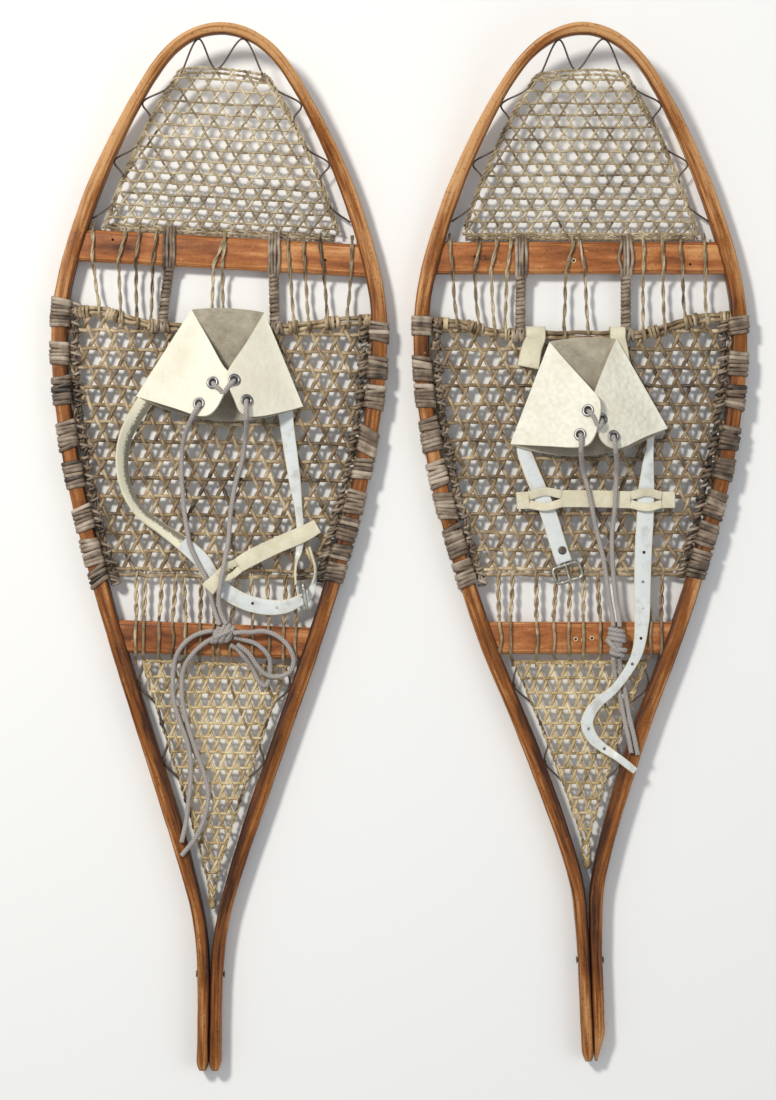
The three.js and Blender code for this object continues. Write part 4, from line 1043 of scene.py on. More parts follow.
def make_lanyards(shoe):
    """The dark thongs that lace the toe and tail netting to holes in the frame."""
    pile = Pile(shoe)
    rail, mesh = inset(shoe, 0.5), toe_region(shoe)[1]
    top = mesh[0]
    crown = [(-top[0], top[1] - 4), (-24, x_height(rail, 24)), (-6, top[1] + 1),
             (22, x_height(rail, 22)), (top[0], top[1] - 4)]
    crown = [(x, y, NET_Z) for x, y in crown]
    tube(pile, toe_lift(curve(crown, 2.0)), 2.0, 1.5, sides=6, up=None, shade=0.5)
    for side in (-1, 1):
        points = []
        for k, y in enumerate(np.arange(top[1] - 4, shoe.toe_bar[0] + 28, -15.0)):
            line = rail if k % 4 == 2 else mesh
            points.append((x_at(line, y) * side, y, NET_Z + (0.9 if k % 2 else -0.9)))
        tube(pile, toe_lift(curve(points, 2.0)), 2.0, 1.5, sides=6, up=None, shade=0.5)
    finish(pile, "toe_lacing", "dark_thong", "toe_lanyard", M.thong)
    tail = Pile(shoe)
    rail, mesh = inset(shoe, 0.5), inset(shoe, 11.0)
    for side in (-1, 1):
        points = []
        heavy = 2.8 if shoe is LEFT and side < 0 else 2.0
        for k, y in enumerate(np.arange(-122, shoe.tail_web_end + 70, -20.0)):
            line = rail if k % 4 == 1 else mesh
            points.append((side * x_at(line, y), y, NET_Z + (1.2 if k % 2 else 0)))
            if k % 2:
                at = tail_bend(shoe, np.array([points[-1]]))[0]
                lump(tail, at, (heavy, heavy * 1.3, heavy * 0.9), shade=0.42, turns=8, rings=6)
        tube(tail, tail_bend(shoe, curve(points, 2.0)), heavy, heavy * 0.75, sides=6, up=None)
    finish(tail, "tail_lacing", "dark_thong", None, M.thong)


# ---- rawhide wound round the rails and the toe hole ------------------------------------------
def turn_round(pile, centre, along, half_wide, wide, thick, skew, shade):
    """One turn of thong round a rail."""
    across = np.array((along[1], -along[0]))
    points = []
    for a, b in rounded_section(half_wide + thick / 2, RAIL_HALF + thick / 2, 3.6, 5):
        shift = skew * a / half_wide
        points.append((*(centre + across * a + along * shift), RAIL_MIDDLE + b))
    loop = curve(np.array(points + points[:1]), 3.4)[:-1]
    tube(pile, loop, thick, wide, up=(*along, 0.0), shade=shade, closed=True)


def make_lashing(shoe, side):
    """The groups of turns round one rail, and the thongs that join them."""
    outer, inner = rail_lines(shoe)
    groups = shoe.lash_left if side < 0 else shoe.lash_right
    pile = Pile(shoe)
    for top, bottom in groups:
        turns = max(4, round((top - bottom) / 4.0))
        lean = rng.normal(0, 1.1)
        for y in np.linspace(top - 2, bottom + 2, turns):
            ox, ix = x_at(outer, y), x_at(inner, y)
            slope = (x_at(outer, y + 8) - x_at(outer, y - 8)) / 16
            along = np.array((slope * side, 1.0))
            along /= np.linalg.norm(along)
            centre = np.array(((ox + ix) / 2 * side, y + rng.normal(0, 0.35)))
            half = (ox - ix) / 2 * along[1] + 0.2
            wide = 4.5 + rng.normal(0, 0.35)
            turn_round(pile, centre, along, half, wide, 2.1 + rng.uniform(0, 0.7),
                       lean + rng.normal(0, 0.6), 0.5 + rng.normal(0, 0.10))
    gather_thongs(pile, shoe, side, groups)
    name = "left" if side < 0 else "right"
    finish(pile, f"rail_wrap_{name}", "wrap_rawhide", f"rail_lashing_{name}", M.wrap)


def gather_thongs(pile, shoe, side, groups):
    """The thong that runs beside the rail, and the ends that go from it to each lashing."""
    line = inset(shoe, 8.0)
    ys = np.arange(groups[0][0] - 4, groups[-1][1], -3.0)
    path = np.column_stack([x_at(line, ys) * side, ys, np.full(len(ys), NET_Z + 2.2)])
    path[:, 0] += wobble(ys, 38) * 1.5
    path[:, 2] += wobble(ys, 21) * 0.8
    ply(pile, path, 3.3, 17.0, shade=0.36, up=None)
    rail = inset(shoe, 0.0)
    for top, bottom in groups:
        for y in np.linspace(top - 4, bottom + 6, 3):
            reach = rng.normal(0, 1.2)
            edge = x_at(rail, y)
            points = [(edge + 2, y, RAIL_TOP - 4), (edge - 1.8, y, RAIL_TOP - 7),
                      (edge - 5.5, y - 1, NET_Z + 5), (edge - 10.5 - reach, y - 2.5, NET_Z + 5),
                      (edge - 12.5 - reach, y - 4, NET_Z + 1), (edge - 9.5, y - 5.5, NET_Z - 2.2),
                      (edge - 4, y - 6, NET_Z - 1)]
            route = curve([(side * x, v, z) for x, v, z in points], 1.6)
            tube(pile, route, 3.4, 2.6, sides=7, up=None, shade=0.5 + rng.normal(0, 0.09))
    a = circle(14)
    for y in np.arange(groups[0][0] - 12, groups[-1][1], -11.0):
        x = (x_at(line, y) + rng.normal(0, 0.6)) * side
        ring = np.column_stack([x + 3.1 * np.cos(a), y + 1.6 * np.cos(a + 0.5),
                                NET_Z + 2.2 + 3.1 * np.sin(a)])
        tube(pile, ring, 2.6, sides=6, up=None, closed=True, shade=0.5 + rng.normal(0, 0.1))


def make_toe_cord(shoe):
    """The master cord: four thongs side by side, bound where the binding hangs on it."""
    pile = Pile(shoe)
    line = inset(shoe, -2.0)
    route = curve([(x, y, NET_Z) for x, y in shoe.toe_cord], 2.0)
    route = route[np.abs(route[:, 0]) < x_at(line, 243)]
    s = lengths(route)
    for k, (dy, dz) in enumerate(((2.6, 1.7), (-2.4, 2.0), (2.3, -2.1), (-2.6, -1.9))):
        path = route.copy()
        turn = 0.5 * wobble(s, 120)
        path[:, 1] += dy * np.cos(turn) - dz * np.sin(turn) + 0.5 * wobble(s, 34)
        path[:, 2] += dz * np.cos(turn) + dy * np.sin(turn) + 0.4 * wobble(s, 29)
        tube(pile, path, 4.4, 3.9, shade=0.5 + 0.05 * k)
    a = circle(14)
    for x0, span in ((-150, 12), (-118, 16), (-74, 9), (74, 9), (112, 14), (148, 12)):
        for x in np.arange(x0, x0 + span, 3.6):
            y = cord_y(shoe, x)
            slope = math.atan2(cord_y(shoe, x + 6) - cord_y(shoe, x - 6), 12)
            tilt = rng.normal(0, 0.8)
            ring = np.column_stack([x + tilt * np.sin(a) - 6.2 * np.cos(a) * math.sin(slope),
                                    y + 6.2 * np.cos(a) * math.cos(slope), NET_Z + 6 * np.sin(a)])
            tube(pile, ring, 1.8, 3.4, closed=True, up=(1, 0, 0),
                 shade=0.55 + rng.normal(0, 0.08))
    finish(pile, "master_cord", "body_rawhide", "toe_cord", M.web)


def make_toe_hole_wrap(shoe, x_top, x_low, name):
    """Thongs from the toe bar to the toe cord, wound tightly into a column."""
    pile = Pile(shoe)
    bar = shoe.toe_bar
    mid = bar_y(bar, x_top)
    back, front = mid - HALF_BAR, mid + HALF_BAR
    cord = cord_y(shoe, x_low)
    top = np.array((x_top, back - 3.0, NET_Z + 0.6))
    low = np.array((x_low, cord + 2.0, NET_Z))
    length = np.linalg.norm(top - low)
    way = (low - top) / length
    core = np.array([top + way * length * k / 20 for k in range(21)])
    tube(pile, core, 7.2, sides=10, shade=0.35)
    pitch, steps_per_mm = 4.5, 2.6
    s = np.linspace(0, length, round(length * steps_per_mm))
    turn = 2 * math.pi * s / pitch
    side = np.array((-way[1], way[0], 0.0))
    coil = (top + way * s[:, None] + side * np.cos(turn)[:, None] * 4.5
            + np.array((0, 0, 1.0)) * np.sin(turn)[:, None] * 4.3)
    coil += way * (0.35 * wobble(s, 9))[:, None]
    tube(pile, coil, 2.5, 4.4, up=tuple(way), shade=0.52 + 0.07 * wobble(s, 14))
    for k in range(4):
        x = x_top + (k - 1.5) * 3.3
        over = [(x, front + 8, NET_Z), (x, front + 2, BAR_TOP - 1), (x, front - 3, BAR_TOP + 1.6),
                (x + rng.normal(0, 1), mid, BAR_TOP + 2.0), (x, back + 3, BAR_TOP + 1.6),
                (x, back - 1.5, BAR_TOP - 0.5), (x_top + (k - 1.5) * 1.6, back - 7, NET_Z + 1)]
        tube(pile, curve(over, 1.8), 3.4, 2.3, sides=7, up=None, shade=0.5 + rng.normal(0, 0.08))
    a = circle(18)
    for k in range(5):
        r = 6.4 + 0.6 * (k % 2)
        x = x_low + (k - 2) * 3.3
        ring = np.column_stack([x + (1.8 if k % 2 else -1.6) * np.cos(a), cord + r * np.cos(a),
                                NET_Z + (r - 0.2) * np.sin(a)])
        tube(pile, ring, 2.1, 3.7, closed=True, up=(1, 0, 0),
             shade=0.5 + rng.normal(0, 0.08))
    finish(pile, f"hole_wrap_{name}", "wrap_rawhide", f"toe_hole_wrap_{name}", M.wrap)


# ---- leather toe piece -----------------------------------------------------------------------
LEATHER, BASE_Z, BOOT = 2.6, 20.6, (0.0, -50.0)
LOOP_RADIUS = 8.3               # of the hanger, from the toe cord's middle to the leather's
LEATHER_LIFT = 1.2              # from the base's underside to the sheet's middle
CUPS = {
    "left": {
        -1: [(-39, 6), (-20, -26), (-3, -55), (3, -62), (2, -72), (-4, -88), (-10, -99),
             (-17, -105.5), (-26, -107), (-56, -98), (-96, -86)],
        1: [(37, 4), (20, -28), (3, -56), (0.5, -63), (2, -74), (9, -90), (14, -101),
            (21, -106), (34, -106), (56, -101), (79, -94)],
    },
    "right": {
        -1: [(-31, 8), (-14, -18), (6, -47), (12, -56), (13.5, -66), (9.5, -82), (4, -96),
             (-3, -104), (-12, -106), (-46, -101), (-82, -95)],
        1: [(39, 4.5), (24, -22), (8, -53), (5, -64), (4.5, -78), (8, -94), (14, -105),
            (24, -111), (35, -109.5), (58, -101), (83.5, -94)],
    },
}


def from_fold(points, edge):
    """Distance of points in the cup's plan from the line where a flap is folded."""
    front, rear = np.array(edge[0], float), np.array(edge[-1], float)
    along = (rear - front) / np.linalg.norm(rear - front)
    inward = np.array((along[1], -along[0]))
    inward *= np.sign(inward @ (np.array(BOOT) - front))
    return (np.asarray(points, float) - front) @ inward


def fold_profile(away):
    """Shape of a folded flap, as its height over its distance from the fold."""
    away = np.maximum(away, 0)
    return np.sqrt(away ** 2 + 49) - 7 + 4 * np.sin(math.pi * np.clip(away / 62, 0, 1))


def flap_slope(shoe, side, edge):
    """Steepness that brings a flap to the height of the CAD eyelets."""
    slopes = []
    for row in ("upper", "lower"):
        name = f"{shoe.name}_eyelet_{row}_{'left' if side < 0 else 'right'}"
        x, y, z = row_to_shoe(shoe, middle(name))
        away = from_fold(shoe_to_cup(shoe, x, y), edge)
        slopes.append((z - 0.6 - BASE_Z - LEATHER_LIFT) / fold_profile(away))
    return sum(slopes) / 2


def shoe_to_cup(shoe, x, y):
    """A point in shoe millimetres to the toe piece's own plan."""
    return turned((x - shoe.cup.x, y - shoe.cup.y), -shoe.cup.yaw)


def cup_to_shoe(shoe, points):
    """Points of the toe piece to shoe millimetres."""
    return turned(points, shoe.cup.yaw) + (shoe.cup.x, shoe.cup.y, 0)


def grid_faces(pile, shoe, grid, z, flip):
    """The faces of a sheet, from a grid of points in the cup's plan and their heights."""
    n, m = z.shape
    points = cup_to_shoe(shoe, np.concatenate([grid, z[..., None]], -1).reshape(-1, 3))
    i, j = np.meshgrid(np.arange(n - 1), np.arange(m - 1), indexing="ij")
    quad = np.stack([i * m + j, (i + 1) * m + j, (i + 1) * m + j + 1, i * m + j + 1], -1)
    if flip:
        quad = quad[..., ::-1]
    pile.add(points, quad.ravel(), np.full(quad.size // 4, 4), np.zeros((quad.size, 2)), 0.5)


def flap_sheet(pile, shoe, side, free_edge):
    """One flap as a grid between its fold line and its free edge."""
    edge = curve(free_edge, 2.2)
    n, m = len(edge), 30
    share = lengths(edge)
    share = smoothstep(share / share[-1], -0.3, 1.3)
    share = ((share - share[0]) / (share[-1] - share[0]))[:, None]
    fold = edge[0] * (1 - share) + edge[-1] * share
    k = np.linspace(0, 1, m)[None, :, None]
    grid = fold[:, None] * (1 - k) + edge[:, None] * k
    away = from_fold(grid, free_edge)
    rise = flap_slope(shoe, side, free_edge) * fold_profile(away)
    ripple = 0.7 * np.sin(grid[..., 1] / 13 + side) * smoothstep(rise, 4, 18)
    z = BASE_Z + LEATHER_LIFT + rise + ripple
    grid_faces(pile, shoe, grid, z, side > 0)


def base_sheet(pile, shoe):
    """The base of the toe piece, on which the boot stands."""
    left, right = CUPS[shoe.name][-1], CUPS[shoe.name][1]
    n, m = 30, 34
    v, u = np.meshgrid(np.linspace(0, 1, n), np.linspace(-1, 1, m), indexing="ij")
    v, u = v[..., None], u[..., None]
    start = np.array(left[0]) * (1 - u) / 2 + np.array(right[0]) * (1 + u) / 2
    end = np.array(left[-1]) * (1 - u) / 2 + np.array(right[-1]) * (1 + u) / 2
    grid = start * (1 - v) + end * v
    grid[..., 1] += (3.0 * (1 - v) ** 2 * (1 - u ** 2) - 20 * v ** 2 * (1 - u ** 2))[..., 0]
    z = BASE_Z + LEATHER_LIFT + 0.5 * np.sin(grid[..., 0] / 17) * (1 - u[..., 0] ** 2)
    grid_faces(pile, shoe, grid, z, False)


def thicken(piece):
    """Gives a leather sheet its thickness, with its other side and edges in suede."""
    work = bmesh.new()
    work.from_mesh(piece.data)
    bmesh.ops.remove_doubles(work, verts=work.verts, dist=0.00005)
    bmesh.ops.dissolve_degenerate(work, edges=work.edges, dist=0.00005)
    work.to_mesh(piece.data)
    work.free()
    solid = piece.modifiers.new("thickness", "SOLIDIFY")
    solid.thickness, solid.offset = LEATHER * MM, 0.0
    solid.use_even_offset = True
    solid.material_offset, solid.material_offset_rim = 1, 2
    soft = piece.modifiers.new("edge", "BEVEL")
    soft.width, soft.segments, soft.limit_method = 0.0007, 2, "ANGLE"
    soft.angle_limit = math.radians(50)
    apply_modifiers(piece)


def eyelet_spots(shoe):
    """Each eyelet's centre and the way up from its leather, from the CAD eyelets."""
    spots = []
    for where in ("upper_left", "upper_right", "lower_left", "lower_right"):
        side = -1 if where.endswith("left") else 1
        up = Vector((side * 0.40, 0.20, 1.0)).normalized()
        up.rotate(Matrix.Rotation(shoe.cup.yaw + shoe.lean, 4, "Z").to_quaternion())
        spots.append((where, middle(f"{shoe.name}_eyelet_{where}"), up))
    return spots


def make_toe_piece(shoe):
    """The flaps as one sheet and the base as another, with the eyelets in the flaps."""
    pile = Pile(shoe)
    for side, edge in CUPS[shoe.name].items():
        flap_sheet(pile, shoe, side, edge)
    outside = M.pebble if shoe is RIGHT else M.ivory
    piece = pile.build(f"{shoe.name}_toe_cup", outside, M.suede, M.cream)
    thicken(piece)
    base = Pile(shoe)
    base_sheet(base, shoe)
    sole = base.build(f"{shoe.name}_toe_cup_base", M.ivory, M.suede, M.cream)
    sole.data.flip_normals()
    thicken(sole)
    for _, at, up in eyelet_spots(shoe):
        drill(piece, shoe, [row_to_shoe(shoe, at)], EYELET_HOLE, depth=14.0, axis=up)
    settle(piece, shoe.binding, "ivory_leather", f"{shoe.name}_toe_piece")
    settle(sole, shoe.binding, "suede")
    for where, at, up in eyelet_spots(shoe):
        make_eyelet(shoe, where, at, up)


def make_eyelet(shoe, where, at, up):
    """A rolled metal eyelet set in the leather."""
    profile = [(3.1, -2.0), (3.9, -2.0), (3.9, 1.35), (6.2, 1.35), (6.6, 1.75), (6.4, 2.4),
               (5.6, 2.85), (4.6, 2.8), (3.7, 2.3), (3.15, 1.4)]
    work = bmesh.new()
    rings = [[work.verts.new(Vector((r * math.cos(a), r * math.sin(a), z)) * MM)
              for r, z in profile] for a in circle(32)]
    for one, two in zip(rings, rings[1:] + rings[:1]):
        for j in range(len(profile)):
            work.faces.new((one[j - 1], two[j - 1], two[j], one[j]))
    bmesh.ops.transform(work, matrix=Matrix.Translation(at) @ turn_to(up), verts=work.verts)
    bmesh.ops.recalc_face_normals(work, faces=work.faces)
    mesh = bpy.data.meshes.new(f"{shoe.name}_ring_{where}")
    work.to_mesh(mesh)
    work.free()
    mesh.polygons.foreach_set("use_smooth", np.full(len(mesh.polygons), True))
    mesh.materials.append(M.steel)
    piece = add_object(mesh.name, mesh)
    settle(piece, shoe.binding, "eyelet_steel", f"{shoe.name}_eyelet_{where}")


def band(pile, stations, thick=STRAP_T, side_materials=(0, 1, 2), rolled=0):
    """A flat strap along stations of x, y, middle z, width and roll in degrees, of which the
    first rolled stations lie on their side, in a fourth material."""
    s = np.asarray(stations, float)
    path = s[:, :3]
    _, across, upright = frames(path, (0, 0, 1))
    roll = np.radians(s[:, 4])[:, None]
    flat = across * np.cos(roll) + upright * np.sin(roll)
    normal = upright * np.cos(roll) - across * np.sin(roll)
    rings = np.zeros((len(s), 16, 3))
    for i in range(len(s)):
        section = rounded_section(s[i, 3] / 2, thick / 2, min(0.9, s[i, 3] / 3))
        for j, (a, b) in enumerate(section):
            rings[i, j] = path[i] + flat[i] * a + normal[i] * b
    face, back, edge = side_materials
    material = np.full((len(s), 16), edge)
    material[:, 3], material[:, 11] = face, back
    # painted shade: the face of the first rolled stations takes the rolled strap material, dark as if
    # in shade
    material[:rolled, 3] = 3
    across_way = np.array([a for a, _ in rounded_section(8.0, 1.2, 0.9)])
    skin(pile, rings, lengths(path), across_way + 20, 0.5, material=material)


def strap_stations(knots, step=2.0):
    """Strap stations from knots of x, y, underside, plan width and height, minus if the
    strap leans the other way."""
    knots = np.array(knots, float)
    knots[:, 4] -= np.sign(knots[:, 4]) * STRAP_T
    k = curve(knots, step)
    wide, high = np.maximum(k[:, 3] - STRAP_T, 0.01), k[:, 4]
    roll = np.degrees(np.arctan2(high, wide))
    true_width = np.hypot(wide, high) + STRAP_T
    wave = 0.25 * wobble(lengths(k), 70)
    z = k[:, 2] + (np.abs(high) + STRAP_T) / 2 + wave + 0.2
    return np.column_stack([k[:, :2], z, true_width, roll])


def make_hanger(shoe):
    """Leather loops round the toe cord that carry the toe piece."""
    pile = Pile(shoe)
    tabs = [(-22, 20, 0), (24, 20, 0)]
    if shoe is RIGHT:
        tabs = [(-47, 21, 4), (39, 17, -2)]
    for x, width, drift in tabs:
        start = [(x - drift * 2, shoe.pivot_y - 34, BASE_Z - 2.2, width + 3, 0),
                 (x - drift, shoe.pivot_y - 14, BASE_Z - 3.2, width + 1, 0)]
        back = [(x, shoe.pivot_y + LOOP_RADIUS * math.sin(math.radians(a)),
                 NET_Z + LOOP_RADIUS * math.cos(math.radians(a)), width, 0)
                for a in (-20, 10, 40, 70, 100, 130, 160, 190)]
        tail = [(x + drift * 0.3, shoe.pivot_y - 6, NET_Z - 6.6, width - 2, 0)]
        band(pile, curve(start + back + tail, 1.8), thick=2.2, side_materials=(0, 1, 1))
    finish(pile, "hanger_loops", "suede", "hanger_strap", M.cream, M.suede, body=shoe.binding)


# ---- straps ----------------------------------------------------------------------------------
# knots of x, y, underside, width in plan, and height: F where flat, minus if it leans left
Z, F = 16.2, STRAP_T
LEFT_LONG = [
    (-66, 168, Z, 17, F), (-80, 150, Z, 16, -8), (-96, 118, Z, 13, -14), (-99.5, 89, Z, 12, -15),
    (-94, 62, Z, 11, -15), (-79, 38, Z, 11, -14), (-56, 21, Z, 12, -10), (-33, 5, Z, 16, -4),
    (-15, -11, Z, 17, F),
    (-4, -28, Z, 17, F), (10, -42, Z, 17, F), (25, -51, Z, 17, F), (43, -57, Z, 17, F),
    (62, -59, 17, 16, F), (76, -57, 19, 14, F), (87, -52, 20.5, 12, F), (97, -46, 20.5, 11, F),
    (101.5, -38, 20.5, 7, F), (104, -28, 17, 4, 9), (104.5, -17, Z, 3, 15), (101, -4, Z, 2.6, 16),
    (98, 5, Z, 2.6, 15)]
LEFT_BUCKLE = [
    (66, 170, Z, 17, F), (70, 150, Z, 17, F), (72, 134, Z, 15, F), (77, 102, Z, 14, F),
    (82, 70, Z, 12, F), (86, 42, Z, 8, F), (88, 22, Z, 8, F), (86.8, 0, Z, 7, F), (84.5, -10, Z, 4, 8),
    (83.5, -20, Z, 3, 15), (84, -35, Z, 3, 15)]
LEFT_CROSS = [
    (106, 27, 19, 15, F), (92, 19, 19, 17, F), (63, 6, 19, 17, F), (32, -10, 19, 17, F),
    (20, -18, 21, 15, F), (4, -28.5, 25, 13, F), (-8, -41, 25, 16, F)]
RIGHT_LONG = [
    (74, 132, Z, 9, F), (73, 110, Z, 8, F), (71, 90, Z, 12, F), (69, 62, Z, 17, F),
    (68, 36, Z, 18, F), (66, -1, Z, 18, F), (65, -46, Z, 17, F), (65, -63, 18.5, 16, F),
    (64, -76, 21.8, 15, F),
    (60, -104, 21.8, 12, F), (52, -122, 21.8, 10, F), (37, -143, 21.8, 9, F),
    (28, -151.5, 20, 10, F), (19, -159, 17, 11, F), (10, -171, Z, 12, F), (7, -183, Z, 13, F),
    (13, -197, Z, 12, F), (23, -206.4, Z, 10, F), (31, -211.6, 18.8, 9, F),
    (38.5, -216.5, 22.6, 8, F), (47, -223, 22.6, 8, F), (57, -231, 22.6, 7, F)]
RIGHT_BUCKLE = [
    (-61, 122, Z, 13, F), (-59, 104, Z, 15, F), (-55, 92, Z, 16, F), (-42, 60, Z, 17, F),
    (-33, 37, Z, 17, F), (-24, 8, Z, 17, F), (-17, -12.6, Z, 17, F)]
RIGHT_CROSS = [(-67, 52, 19, 18, F), (-24, 54, 19, 18, F), (17, 54, 19, 18, F),
               (54, 53, 19, 18, F), (99, 53, 19, 17, F)]


def make_strap(shoe, name, knots, holes=(), rolled=0):
    """A heel strap with its buckle holes."""
    pile = Pile(shoe)
    band(pile, strap_stations(knots), rolled=rolled)
    piece = pile.build(f"{shoe.name}_{name}_leather", M.strap, M.cream, M.cream, M.rolled)
    if holes:
        drill(piece, shoe, holes, STRAP_HOLE, depth=9.0)
    bridge(piece, shoe, "strap_leather", f"{shoe.name}_{name}")


def make_cross_strap(shoe, knots, slits, spread):
    """The short strap that holds the two heel straps together, slit near its ends."""
    pile = Pile(shoe)
    stations = strap_stations(knots, 1.5)
    _, across, _ = frames(stations[:, :3], (0, 0, 1))
    s = lengths(stations)
    whole = np.ones(len(s), bool)
    for start, end in slits:
        part = (s >= start) & (s <= end)
        whole &= (s < start + 2) | (s > end - 2)
        t = (s[part] - start) / (end - start)
        for side in (-1, 1):
            arm = stations[part].copy()
            arm[:, 3] /= 2
            open_by = spread * np.sin(math.pi * t) ** 1.5
            arm[:, :3] += across[part] * (side * (arm[:, 3] / 2 + open_by))[:, None]
            arm[:, 2] += 1.2 * np.sin(math.pi * t) + 0.05 * side
            arm[:, 4] += side * 24 * np.sin(math.pi * t)
            band(pile, arm)
    starts = np.flatnonzero(whole & ~np.roll(whole, 1) | (np.arange(len(s)) == 0))
    for first in starts:
        last = first
        while last < len(s) and whole[last]:
            last += 1
        if last - first > 2:
            band(pile, stations[first:last])
    piece = pile.build(f"{shoe.name}_keeper", M.cream, M.suede, M.cream)
    bridge(piece, shoe, "ivory_leather", f"{shoe.name}_cross_strap")


# ---- small fittings --------------------------------------------------------------------------
def place_right_buckle(points):
    """The right buckle lies nearly flat, at the end of its strap."""
    return turned(points, math.radians(17)) + (-16, -15.5, 17.7)


def place_left_buckle(points):
    """The left buckle stands on edge, turned nearly along the shoe."""
    on_edge = np.asarray(points, float)[:, [0, 2, 1]] * (1, 1, -1)
    return turned(on_edge, math.radians(99)) + (94, -47, 17.8)


def make_buckle(shoe, place, body, prong_body):
    """A wire buckle with a roller, and its prong."""
    ring = rounded_section(14.4, 8.4, 4.0, 6)
    loop = np.array([(a, b - 8.4, 0.0) for a, b in ring])
    loop = curve(np.vstack([loop, loop[:1]]), 1.0)[:-1]
    pile = Pile(shoe)
    tube(pile, place(loop), 3.2, 2.7, sides=10, up=None, closed=True)
    roller = [(x, -16.8, 0) for x in np.linspace(-9.5, 9.5, 14)]
    tube(pile, place(roller), 4.6, sides=14, up=None)
    finish(pile, "buckle_ring", "buckle_metal", "buckle_frame", M.buckle, body=body)
    pile = Pile(shoe)
    prong = curve([(0, 1.2, -0.6), (0, 1.6, 1.8), (0, -0.4, 2.9), (0, -4, 2.7), (0, -10, 2.8),
                   (0, -15, 3.6), (0, -19.2, 3.4)], 0.8)
    tube(pile, place(prong), np.linspace(2.7, 1.9, len(prong)), sides=10, up=None)
    finish(pile, "buckle_tongue", "buckle_metal", "buckle_prong", M.buckle, body=prong_body)


def make_knot(shoe, at, core, turns):
    """A knot of the lace: a core with turns of cord drawn tight round it. A turn is where it
    lies from the middle, its two radii, the way of its axis and how far it leans."""
    pile = Pile(shoe)
    lump(pile, at, np.array(core), shade=0.35)
    a = circle(36)
    for shift, reach, high, spin, skew in turns:
        ring = np.column_stack([skew * np.cos(a), reach * np.cos(a), high * np.sin(a)])
        ring = turned(ring, math.radians(spin)) + np.array(at) + np.array(shift)
        tube(pile, ring, LACE_D, sides=10, up=None, closed=True)
    finish(pile, "knot", "lace_cord", "lace_knot", M.lace)


def make_lace_bridge(shoe):
    """The crossing of the lace between the four eyelets, on top of the flaps."""
    spots = {where: (np.array(row_to_shoe(shoe, at)), up) for where, at, up in eyelet_spots(shoe)}
    pile = Pile(shoe)
    ul, ur = spots["upper_left"][0], spots["upper_right"][0]
    low = (ul + ur) / 2 + (0, -12.0, 3.6)
    route = [ul + (0, 0, -2), ul + (1.6, -2.6, 4.3), ul * 0.4 + low * 0.6 + (0, 0, 2.6),
             low, ur * 0.45 + low * 0.55 + (0, 0, 2.4), ur + (-1.6, -2.6, 4.2),
             ur + (0, 0, -2)]
    if shoe is RIGHT:
        top = max(ul[2], ur[2]) + 5.4
        route = [ul + (0, 0, -2), (ul[0] + 1.6, ul[1] - 2.4, top - 0.6),
                 (ul[0] + 6.0, ul[1] - 8.0, top), (ur[0] - 3.0, ur[1] - 9.0, top),
                 (ur[0] + 0.5, ur[1] - 4.5, top - 1.0), (ur[0] + 0.3, ur[1] - 0.5, ur[2] + 2.0),
                 ur + (0, 0, -2)]
    tube(pile, curve(route, 1.2), LACE_D, sides=10, up=None)
    for where, end in (("lower_left", "strand_a"), ("lower_right", "strand_b")):
        start = spots[where][0]
        first = np.array(LACES[shoe.name][end][0], float)
        second = np.array(LACES[shoe.name][end][1], float)
        over = (start + first) / 2 + (0, 0, 4.6)
        route = [start + (0, 0, -1), start + (0, -1.5, 4.6), over, first, second]
        path = curve(route, 1.2)
        stop = np.argmin(np.linalg.norm(path - first, axis=1)) + 2
        tube(pile, path[:stop], LACE_D, sides=10, up=None)
    finish(pile, "lace_crossing", "lace_cord", None, M.lace, body=shoe.binding)


def make_rivet(shoe, name, at, radius):
    """A domed rivet head on a strap."""
    pile = Pile(shoe)
    a = circle(20)
    rings = []
    for r, z in ((radius, 0), (radius, 0.5), (radius * 0.86, 0.95), (radius * 0.5, 1.25),
                 (0.05, 1.35)):
        rings.append(np.column_stack([at[0] + r * np.cos(a), at[1] + r * np.sin(a),
                                      np.full(20, at[2] + z)]))
    skin(pile, np.array(rings), np.arange(5) * 1.0, a, 0.5)
    bridge(pile.build(f"{shoe.name}_{name}", M.rivet), shoe, "rivet_steel")


# ---- assembly --------------------------------------------------------------------------------
for shoe in (LEFT, RIGHT):
    make_rails(shoe)
    for which, holes, rimmed in BAR_HOLES[shoe.name]:
        make_bar(shoe, which, holes, rimmed)
    make_toe_web(shoe)
    make_body_web(shoe)
    make_tail_web(shoe)
    make_lanyards(shoe)
    make_lashing(shoe, -1)
    make_lashing(shoe, 1)
    make_toe_cord(shoe)
    make_toe_hole_wrap(shoe, *shoe.wraps[0], "left")
    make_toe_hole_wrap(shoe, *shoe.wraps[1], "right")
    make_toe_piece(shoe)
    make_hanger(shoe)
    make_lace_bridge(shoe)
    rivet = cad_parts[f"{shoe.name}_tail_rivet"]
    rivet.data.materials.clear()
    rivet.data.materials.append(M.rivet)

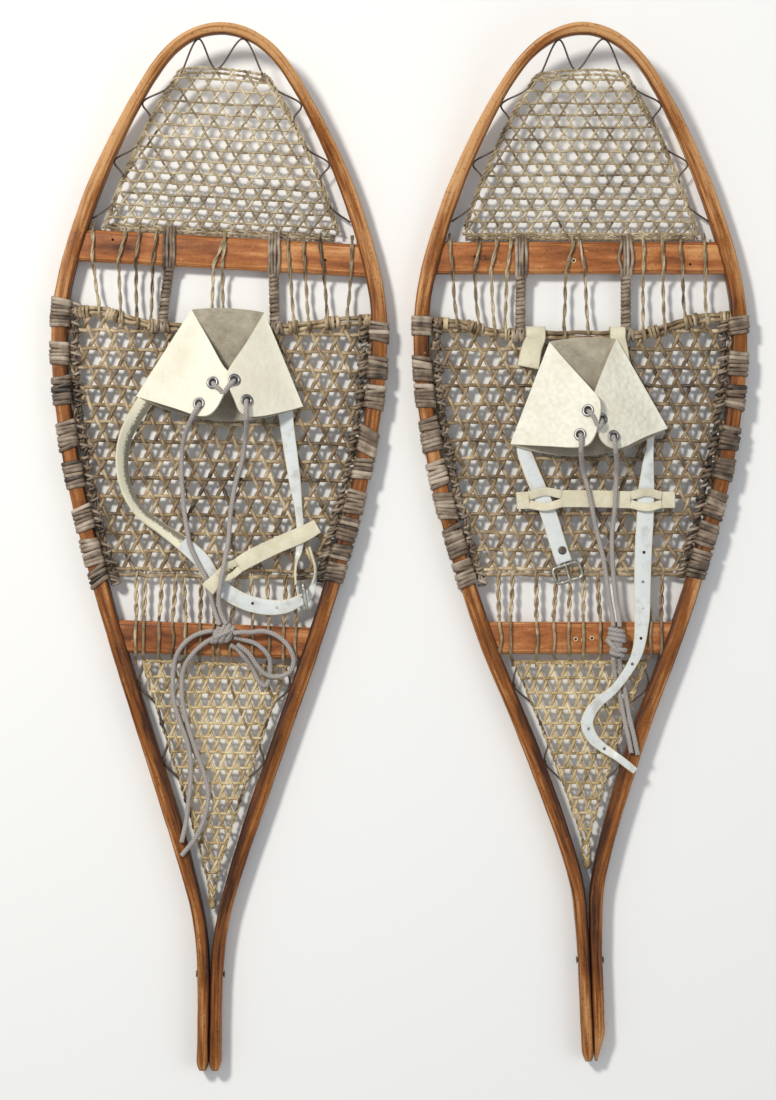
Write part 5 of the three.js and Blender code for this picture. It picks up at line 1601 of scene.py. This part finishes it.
make_strap(LEFT, "long_strap", LEFT_LONG, [(39, -55, 17.4), (65, -59, 18.5)], rolled=98)
make_strap(LEFT, "buckle_strap", LEFT_BUCKLE)
make_cross_strap(LEFT, LEFT_CROSS, [(92, 118)], 2.2)
make_strap(RIGHT, "long_strap", RIGHT_LONG,
           [(66.7, -2, 17.4), (65.6, -33, 17.4), (65.2, -61, 19), (63, -92, 23), (54, -119, 23),
            (8.5, -187, 17.4), (25, -208, 18)])
make_strap(RIGHT, "buckle_strap", RIGHT_BUCKLE)
make_cross_strap(RIGHT, RIGHT_CROSS, [(12, 48), (119, 153)], 3.6)
make_buckle(LEFT, place_left_buckle, "left_shoe", "left_shoe")
make_buckle(RIGHT, place_right_buckle, "right_buckle", "right_buckle_prong")
make_knot(LEFT, (9, -88, 28.4), (11.0, 8.6, 4.8),
          [((-7.6, -0.6, -1.0), 7.4, 4.4, -8, 2.6), ((-3.0, 1.0, 0.2), 9.0, 5.2, -12, 3.0),
           ((2.0, 1.4, 0.2), 9.2, 5.2, -12, 3.0), ((7.0, 0.8, -1.0), 7.6, 4.4, -8, 2.6),
           ((-0.6, 0.6, 2.6), 9.0, 4.4, -58, 1.2)])
make_knot(RIGHT, (37, -96, 29), (6.6, 16, 5.2),
          [((0, 12.4, -0.6), 6.6, 5.4, 90, 1.4), ((0.3, 7.8, 0), 7.4, 5.8, 90, 1.6),
           ((0, 3.2, 0), 7.6, 5.8, 90, 1.6), ((-3.6, -4.6, 0.6), 8.4, 5.6, 58, 2.6),
           ((2.2, -7.6, -0.4), 6.6, 5.0, 98, 1.6), ((0.4, -12.2, -1.2), 5.8, 4.4, 86, 1.2)])
make_rivet(RIGHT, "buckle_strap_rivet", (-19, 0, 18.6), 4.4)


# ---- floor and light -------------------------------------------------------------------------
def make_floor():
    """A pale ground, which is staging and no part of the object."""
    mesh = bpy.data.meshes.new("floor")
    size = 6.0
    mesh.from_pydata([(-size, -size, 0), (size, -size, 0), (size, size, 0), (-size, size, 0)],
                     [], [(0, 1, 2, 3)])
    mesh.materials.append(Paint("floor").finish((0.86, 0.86, 0.85, 1), 0.9))
    floor = add_object("floor", mesh)


def area_light(name, place, size, power, color):
    """A round light aimed at the middle of the row."""
    data = bpy.data.lights.new(name, "AREA")
    data.shape, data.size, data.energy, data.color = "DISK", size, power, color
    light = add_object(name, data)
    light.location = place
    light.rotation_mode = "QUATERNION"
    light.rotation_quaternion = (-Vector(place)).to_track_quat("-Z", "Y")


make_floor()
area_light("key", (-1.5, 1.5, 2.6), 0.55, 84, (1.0, 0.965, 0.90))
area_light("fill", (2.2, -0.6, 2.2), 2.4, 16, (0.93, 0.96, 1.0))
world = bpy.data.worlds.new("studio")
world.use_nodes = True
sky = world.node_tree.nodes["Background"].inputs
sky["Color"].default_value = (0.93, 0.96, 1.0, 1)
sky["Strength"].default_value = 0.46
bpy.context.scene.world = world
bpy.context.scene.view_settings.view_transform = "Standard"
